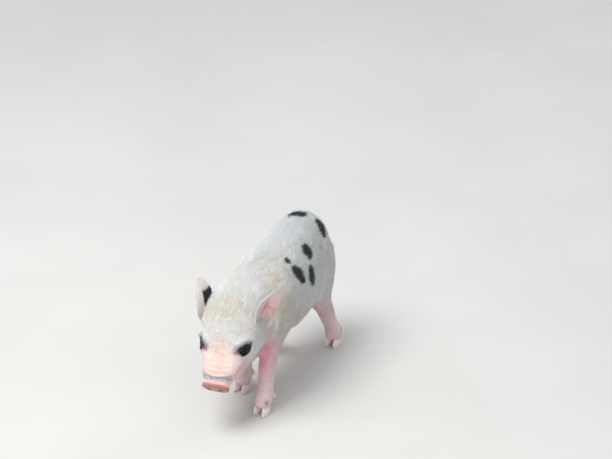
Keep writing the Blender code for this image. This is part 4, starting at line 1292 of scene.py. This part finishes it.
def mesh_of_tufts(name, points, faces_each, attributes, uvs):
    """One mesh of many closed tufts, with the same value at every point of a tuft."""
    count, each = points.shape[:2]
    starts = (np.arange(count) * each)[:, None, None]
    faces = (faces_each[None] + starts).reshape(-1, 3)
    mesh = bpy.data.meshes.new(name)
    mesh.vertices.add(count * each)
    mesh.vertices.foreach_set("co", points.reshape(-1).astype(np.float32))
    mesh.loops.add(len(faces) * 3)
    mesh.loops.foreach_set("vertex_index", faces.ravel().astype(np.int32))
    mesh.polygons.add(len(faces))
    mesh.polygons.foreach_set("loop_start", (np.arange(len(faces)) * 3).astype(np.int32))
    mesh.update(calc_edges=True)
    mesh.shade_smooth()
    for label, values in attributes.items():
        keep(mesh, label, np.repeat(values, each, axis=0))
    layer = mesh.uv_layers.new(name=BAKE_MAP)
    spots = uvs.reshape(-1, 2)[faces.ravel()]
    layer.data.foreach_set("uv", spots.ravel().astype(np.float32))
    return object_from(mesh, name)


def unwrapped_region(skin, owners, wanted):
    """An unwrap of the part of the skin that a piece of coat grows on: its tree, corners and places."""
    bm = bmesh.new()
    bm.from_mesh(skin.data)
    bm.verts.ensure_lookup_table()
    outside = [v for v, owner in zip(bm.verts, owners) if owner not in wanted]
    bmesh.ops.delete(bm, geom=outside, context="VERTS")
    coarse = object_of(bm, "unwrap")
    add_modifier(coarse, "DECIMATE", ratio=min(1.0, UNWRAP_FACES / max(len(coarse.data.polygons), 1)),
                 use_collapse_triangulate=True)
    apply_modifiers(coarse)
    coarse.data.uv_layers.new(name=BAKE_MAP)
    bpy.ops.object.select_all(action="DESELECT")
    coarse.select_set(True)
    bpy.context.view_layer.objects.active = coarse
    bpy.ops.object.mode_set(mode="EDIT")
    bpy.ops.mesh.select_all(action="SELECT")
    bpy.ops.uv.smart_project(angle_limit=math.radians(66), island_margin=0.006)
    bpy.ops.object.mode_set(mode="OBJECT")
    mesh = coarse.data
    places = np.empty(len(mesh.loops) * 2, dtype=np.float32)
    mesh.uv_layers[BAKE_MAP].data.foreach_get("uv", places)
    places = places.reshape(-1, 3, 2)
    corners = corners_of(mesh)
    points = points_of(mesh)
    tree = BVHTree.FromPolygons([tuple(p) for p in points], [tuple(int(i) for i in c) for c in corners])
    bpy.data.objects.remove(coarse, do_unlink=True)
    return tree, points[corners], places


def unwrap_places(roots, region):
    """Where each root lies on the region's unwrap."""
    tree, corners, places = region
    found = [tree.find_nearest(Vector(p)) for p in roots]
    faces = np.array([f[2] for f in found])
    spots = np.array([f[0] for f in found])
    a, b, c = corners[faces, 0], corners[faces, 1], corners[faces, 2]
    flat = np.cross(b - a, c - a)
    size = np.maximum((flat * flat).sum(axis=1), 1e-20)
    second = (np.cross(c - spots, a - spots) * flat).sum(axis=1) / size
    third = (np.cross(a - spots, b - spots) * flat).sum(axis=1) / size
    weights = np.clip(np.stack((1 - second - third, second, third), axis=1), 0, 1)
    weights /= weights.sum(axis=1, keepdims=True)
    return (places[faces] * weights[:, :, None]).sum(axis=1)


def plant(skin, share, rng):
    """Random roots over the skin, as dense as it says, with all that a hair takes from the skin there."""
    mesh = skin.data
    corners = corners_of(mesh)
    points, normals = points_of(mesh), normals_of(mesh)
    density = kept(mesh, "coat_density")[corners].mean(axis=1)
    a, b, c = (points[corners[:, k]] for k in range(3))
    hairs = np.linalg.norm(np.cross(b - a, c - a), axis=1) / 2 * density * share
    count = int(hairs.sum())
    faces = np.searchsorted(np.cumsum(hairs), rng.uniform(0, hairs.sum(), count))
    faces = np.minimum(faces, len(corners) - 1)
    first, second = rng.uniform(size=(2, count))
    fold = first + second > 1
    first[fold], second[fold] = 1 - first[fold], 1 - second[fold]
    weights = np.stack((1 - first - second, first, second), axis=1)

    def taken(values):
        return np.einsum("nk,nk...->n...", weights, values[corners[faces]])

    planted = {name: taken(kept(mesh, name, width)) for name, width in ROOT_VALUES.items()}
    planted["coat_way"] = unit(planted["coat_way"])
    planted["root_place"], planted["coat_normal"] = taken(points), unit(taken(normals))
    planted["owner"] = kept(mesh, "owner")[corners[faces, 0]].astype(int)
    return planted


def coat_pieces(owner, place):
    """Each piece of coat: its name, the flesh nodes under it, and which hairs are its own."""
    left, rear, under = place[:, 0] > 0, place[:, 1] > SHOULDER_REAR, place[:, 2] < BELLY_TOP
    left_face = in_head(place)[:, 1] > 0
    for part in PARTS:
        wanted = [i for i, name in enumerate(FLESH) if PART_OF[name] == part]
        mine = np.isin(owner, wanted)
        if part == "torso":
            yield "coat_belly", wanted, mine & under
            for side, on_side in (("left", left), ("right", ~left)):
                yield f"coat_shoulder_{side}", wanted, mine & ~under & on_side & ~rear
                yield f"coat_rump_{side}", wanted, mine & ~under & on_side & rear
        elif part == "head":
            yield "coat_head_left", wanted, mine & left_face
            yield "coat_head_right", wanted, mine & ~left_face
        elif part.endswith("legs"):
            for leg in wanted:
                yield "coat_" + FLESH[leg], [leg], owner == leg
        elif part != "snout":
            yield "coat_" + part, wanted, mine


def hair_points(planted, rng):
    """The points of every hair, each a little unlike its neighbours, with a longer bristle here and there."""
    place, normal, way = planted["root_place"], planted["coat_normal"], planted["coat_way"]
    count = len(place)
    swirl = ripples(place, 0.018, 21) * 0.12 + ripples(place, 0.006, 22) * 0.08
    turn = swirl + rng.normal(0, 0.13, count)
    ways = unit(way + np.cross(normal, way) * turn[:, None])
    widths = planted["coat_width"] * rng.uniform(0.75, 1.25, count)
    widths *= 0.62 + 0.38 * ramp(planted["coat_length"], 0.002, 0.0045)
    lifts = planted["coat_lift"] * rng.uniform(0.35, 1.6, count)
    lengths = planted["coat_length"] * rng.uniform(0.65, 1.2, count)
    lengths *= 1 + 0.1 * ripples(place, 0.01, 23)
    bristle = rng.uniform(size=count) < BRISTLE_SHARE
    lengths *= np.where(bristle, 1.35, 1.0)
    lifts *= np.where(bristle, 1.9, 1.0)
    return tuft_points(place, normal, ways, lengths, widths, lifts, rng.normal(0, 0.1, count))


class PIGLET_OT_coat(bpy.types.Operator):
    """Short hair over the whole skin, in thin solid tufts that lie along the body"""

    bl_idname = "piglet.coat"
    bl_label = "Grow the coat"

    def execute(self, context):
        given = context.scene.piglet_coat
        skin = bpy.data.objects["skin"]
        rng = np.random.default_rng(SEED)
        planted = plant(skin, given.density, rng)
        points = hair_points(planted, rng)
        material = coat_material(given, context.scene.piglet_skin)
        skin_owners = kept(skin.data, "owner").astype(int)
        unwraps = {}
        for name, wanted, mine in coat_pieces(planted["owner"], planted["root_place"]):
            key = tuple(wanted)
            if key not in unwraps:
                unwraps[key] = unwrapped_region(skin, skin_owners, set(wanted))
            carried = {label: planted[label][mine] for label in HAIR_VALUES}
            spots = unwrap_places(carried["root_place"], unwraps[key])
            piece = mesh_of_tufts(name, points[mine], TUFT_FACES, carried, spots[:, None, :] + TUFT_MAP[None])
            finish_piece(piece, "skin", material)
        for label in ("coat_way", "coat_length", "coat_width", "coat_lift", "coat_density", "owner"):
            skin.data.attributes.remove(skin.data.attributes[label])
        return {"FINISHED"}


# Eyes and lashes

class PIGLET_OT_eyes(bpy.types.Operator):
    """Eyeballs with a dark iris, a pupil and a clear, bulging front"""

    bl_idname = "piglet.eyes"
    bl_label = "Make the eyes"

    def execute(self, context):
        given = context.scene.piglet_eyes
        material = eye_material(given)
        for side in SIDES:
            slit, brow, look = eye_axes(side)
            bm = bmesh.new()
            bmesh.ops.create_uvsphere(bm, u_segments=64, v_segments=40, radius=EYE_RADIUS)
            turn = Matrix((slit, brow, look)).transposed()
            if turn.determinant() < 0:
                turn = Matrix((-slit, brow, look)).transposed()
            bmesh.ops.transform(bm, matrix=turn.to_4x4(), verts=bm.verts)
            for vertex in bm.verts:
                off = vertex.co.angle(look)
                vertex.co += vertex.co.normalized() * (given.bulge * math.exp(-((off / given.iris) ** 4)))
            bmesh.ops.translate(bm, vec=eye_middle(side), verts=bm.verts)
            ball = object_of(bm, "eyeball_" + side)
            offsets = unit(points_of(ball.data) - np.array(eye_middle(side)))
            keep(ball.data, "gaze", np.arccos(np.clip(offsets @ np.array(look), -1, 1)))
            keep(ball.data, "iris_ray", np.arctan2(offsets @ np.array(brow), offsets @ np.array(slit)))
            finish_piece(ball, "eye", material, "eye_" + side)
        return {"FINISHED"}


LASH_STEPS = 6
LASH_WIDTH = 0.00022
# How far out of the lids' opening the lashes stand, 1 at its rim
LASH_REACH = 1.16


def lash_points(roots, outward, upward, lengths):
    """Rings of three along a lash that leaves the lid outwards and curls towards the brow."""
    rings = []
    side = unit(np.cross(outward, upward))
    for step in range(LASH_STEPS):
        way = step / LASH_STEPS
        bend = upward * (0.1 + 0.75 * way)
        centre = roots + (outward * (1 - 0.35 * way) + bend) * (lengths * way)[:, None]
        half = LASH_WIDTH * (1 - 0.75 * way) / 2
        for turn in (0, 2 * math.pi / 3, 4 * math.pi / 3):
            rings.append(centre + side * (half * math.cos(turn)) + upward * (half * math.sin(turn)))
    tip = roots + (outward * 0.65 + upward * 0.85) * lengths[:, None]
    return np.stack(rings + [tip], axis=1)


def lash_faces():
    faces = [(0, 2, 1)]
    for step in range(LASH_STEPS - 1):
        for k in range(3):
            a, b = step * 3 + k, step * 3 + (k + 1) % 3
            faces += [(a, b, b + 3), (a, b + 3, a + 3)]
    top = (LASH_STEPS - 1) * 3
    faces += [(top + k, top + (k + 1) % 3, LASH_STEPS * 3) for k in range(3)]
    return np.array(faces)


def lash_roots(given, side, tree, rng):
    """Each lash's root on the lids' rims, the way out of the lid, the way it curls, and its length."""
    slit, brow, look = eye_axes(side)
    middle = eye_middle(side) + look * EYE_RADIUS
    found = []
    for count, sign, longest in ((given.lashes, 1, 1.0), (given.lashes // 3, -1, 0.45)):
        for i in range(count):
            turn = math.radians(18 + 150 * (i + rng.uniform(-0.4, 0.4)) / count)
            along, rise = math.cos(turn) * LASH_REACH, math.sin(turn) * LASH_REACH * sign
            point = middle + slit * (LID_HALF_LENGTH * along) + brow * (LID_HALF_HEIGHT * rise)
            hit = tree.ray_cast(point + look * 0.006, -look)[0]
            if hit is None or (hit - point).length > 0.008:
                continue
            away = (slit * (along * 0.55) + brow * (rise * 0.35) + look * 0.55).normalized()
            curl = (brow * sign * 0.75 + slit * (along * 0.3)).normalized()
            size = longest * rng.uniform(0.6, 1.0) * (0.6 + 0.4 * math.sin(turn))
            found.append((hit - look * ROOT_DEPTH, away, curl, given.lash_length * size))
    return [np.array(values) for values in zip(*found)]


class PIGLET_OT_lashes(bpy.types.Operator):
    """Dark and white lashes along the upper lids, and a few short ones below"""

    bl_idname = "piglet.lashes"
    bl_label = "Set the lashes"

    def execute(self, context):
        given = context.scene.piglet_eyes
        rng = np.random.default_rng(SEED + 1)
        skin = bpy.data.objects["skin"]
        tree = BVHTree.FromObject(skin, bpy.context.evaluated_depsgraph_get())
        material = coat_material(context.scene.piglet_coat, context.scene.piglet_skin, "piglet_lashes")
        for side in SIDES:
            roots, outward, upward, lengths = lash_roots(given, side, tree, rng)
            points = lash_points(roots, outward, upward, lengths)
            count, each = points.shape[:2]
            tones = np.tile((0.05, 0, 0, 0), (count, 1))
            # Dark lashes, partly standing in for the lashes' shade over the eye
            dark = np.where(rng.uniform(size=count) < given.dark_lashes, 1.0, -1.0)
            attributes = {"root_place": roots, "tones": tones, "patch": dark, "cream": np.full(count, 0.1)}
            spots = np.stack((np.linspace(0.1, 0.9, count), np.full(count, 0.5)), axis=1)
            strip = np.linspace(-BAKE_PATCH, BAKE_PATCH, each)[None, :, None] * np.array((0.3, 1.0))
            piece = mesh_of_tufts("lashes_" + side, points, lash_faces(), attributes, spots[:, None, :] + strip)
            finish_piece(piece, "skin", material)
        return {"FINISHED"}


# Hooves

def even_out(bm):
    """Joins a claw's nearly flat faces."""
    bmesh.ops.dissolve_limit(bm, angle_limit=math.radians(4), verts=bm.verts, edges=bm.edges)
    bmesh.ops.triangulate(bm, faces=bm.faces)


class PIGLET_OT_hooves(bpy.types.Operator):
    """Rounded claws and dew claws of horn, where the solids have them"""

    bl_idname = "piglet.hooves"
    bl_label = "Shape the hooves"

    def execute(self, context):
        material = horn_material(context.scene.piglet_hooves)
        for foot in FEET:
            nodes = [n for n in sorted(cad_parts) if "claw" in n and foot in n]
            if len(nodes) != 4:
                raise RuntimeError(f"{foot} has {len(nodes)} claws, and four are needed")
            claws = object_of(joined_nodes(nodes, even_out), "hoof_" + foot)
            add_modifier(claws, "REMESH", mode="VOXEL", voxel_size=HOOF_VOXEL)
            add_modifier(claws, "SMOOTH", factor=0.5, iterations=7)
            apply_modifiers(claws)
            points = points_of(claws.data)
            middle = (points.min(axis=0) + points.max(axis=0)) / 2
            above = points[:, 2] - CORONET_MIDDLE - CORONET_RISE * (middle[1] - points[:, 1])
            points[:, 2] += HOOF_OVERLAP * ramp(above, -0.0016, -0.0002) * (points[:, 2] < CORONET_TOP)
            points[:, 2] = np.maximum(points[:, 2], 0.0)
            move_points(claws.data, points)
            claws.data.shade_smooth()
            finish_piece(claws, "horn", material, *nodes)
        return {"FINISHED"}


# Stage

def floor_material(given):
    material, tree, shader = new_material("pale_floor")
    base = mottled(tree, colour(given.floor_colour), object_place(tree), 0.25, 3.0, 0.3, 0.7, 0.97, 1.02)
    feed(tree, shader, {"Base Color": base, "Roughness": 0.8})
    return material


def place_camera(scene, given):
    """The camera at the photograph's viewpoint, with the near fore foot where the photograph has it."""
    back = Vector((math.sin(given.azimuth) * math.cos(given.elevation),
                   -math.cos(given.azimuth) * math.cos(given.elevation), math.sin(given.elevation)))
    aim = (-back).to_track_quat("-Z", "Y")
    focal = given.lens / SENSOR_WIDTH * PHOTO_SIZE[0]
    ray = aim @ Vector((FOOT_PIXEL[0] - PHOTO_SIZE[0] / 2, PHOTO_SIZE[1] / 2 - FOOT_PIXEL[1], -focal))
    ray.normalize()
    data = bpy.data.cameras.new("camera")
    data.sensor_width = SENSOR_WIDTH
    data.lens = given.lens
    data.clip_end = 60
    camera = object_from(data, "camera")
    camera.location = FEET_MIDDLE + FOOT_POINT - ray * (given.distance / ray.dot(-back))
    camera.rotation_mode = "QUATERNION"
    camera.rotation_quaternion = aim
    scene.camera = camera


def light_room(scene, given):
    """Soft light from all round, cooler and stronger from above."""
    world = bpy.data.worlds.new("room")
    world.use_nodes = True
    tree = world.node_tree
    way = add(tree, "ShaderNodeTexCoord").outputs["Generated"]
    rise = add(tree, "ShaderNodeSeparateXYZ", {"Vector": way}).outputs["Z"]
    walls = mix(tree, spread(tree, rise, 0.05, 0.85), colour(given.wall_colour), colour(given.ceiling_colour))
    feed(tree, tree.nodes["Background"], {"Color": walls, "Strength": given.sky})
    scene.world = world
    scene.view_settings.view_transform = "Standard"


def area_light(name, place, aim, size, power):
    data = bpy.data.lights.new(name, "AREA")
    data.shape = "DISK"
    data.size = size
    data.energy = power
    lamp = object_from(data, name)
    lamp.location = place
    lamp.rotation_euler = (Vector(aim) - Vector(place)).to_track_quat("-Z", "Y").to_euler()
    return lamp


class PIGLET_OT_stage(bpy.types.Operator):
    """The pale floor, the soft lights and the camera"""

    bl_idname = "piglet.stage"
    bl_label = "Set the stage"

    def execute(self, context):
        given = context.scene.piglet_stage
        bm = bmesh.new()
        bmesh.ops.create_grid(bm, x_segments=8, y_segments=8, size=given.floor_size / 2)
        floor = object_of(bm, "floor")
        floor.data.materials.append(floor_material(given))
        place_camera(context.scene, given)
        for name, (place, size, share) in LIGHTS.items():
            area_light(name, place, LIGHTS_AIM, size, given.key_power * share)
        light_room(context.scene, given)
        return {"FINISHED"}


class PIGLET_PT_panel(bpy.types.Panel):
    """Lists the piglet's pieces and their settings"""

    bl_idname = "PIGLET_PT_panel"
    bl_label = "Miniature Piglet"
    bl_space_type = "VIEW_3D"
    bl_region_type = "UI"
    bl_category = "Piglet"

    def draw(self, context):
        for owner, operator in SECTIONS:
            box = self.layout.box()
            settings = getattr(context.scene, owner)
            for name in settings.bl_rna.properties.keys():
                if name not in ("rna_type", "name"):
                    box.prop(settings, name)
            box.operator(operator)


SETTINGS = {"piglet_skin": PigletSkin, "piglet_coat": PigletCoat, "piglet_eyes": PigletEyes,
            "piglet_hooves": PigletHooves, "piglet_stage": PigletStage}
SECTIONS = (("piglet_skin", "piglet.skin"), ("piglet_coat", "piglet.coat"), ("piglet_eyes", "piglet.eyes"),
            ("piglet_eyes", "piglet.lashes"), ("piglet_hooves", "piglet.hooves"),
            ("piglet_stage", "piglet.stage"))
CLASSES = (*SETTINGS.values(), PIGLET_OT_skin, PIGLET_OT_coat, PIGLET_OT_eyes, PIGLET_OT_lashes,
           PIGLET_OT_hooves, PIGLET_OT_stage, PIGLET_PT_panel)


def register():
    for cls in CLASSES:
        bpy.utils.register_class(cls)
    for name, cls in SETTINGS.items():
        setattr(bpy.types.Scene, name, PointerProperty(type=cls))


def unregister():
    for name in SETTINGS:
        delattr(bpy.types.Scene, name)
    for cls in reversed(CLASSES):
        bpy.utils.unregister_class(cls)


def main():
    register()
    bpy.ops.piglet.stage()
    bpy.ops.piglet.skin()
    bpy.ops.piglet.eyes()
    bpy.ops.piglet.lashes()
    bpy.ops.piglet.hooves()
    bpy.ops.piglet.coat()


if __name__ == "__main__":
    main()
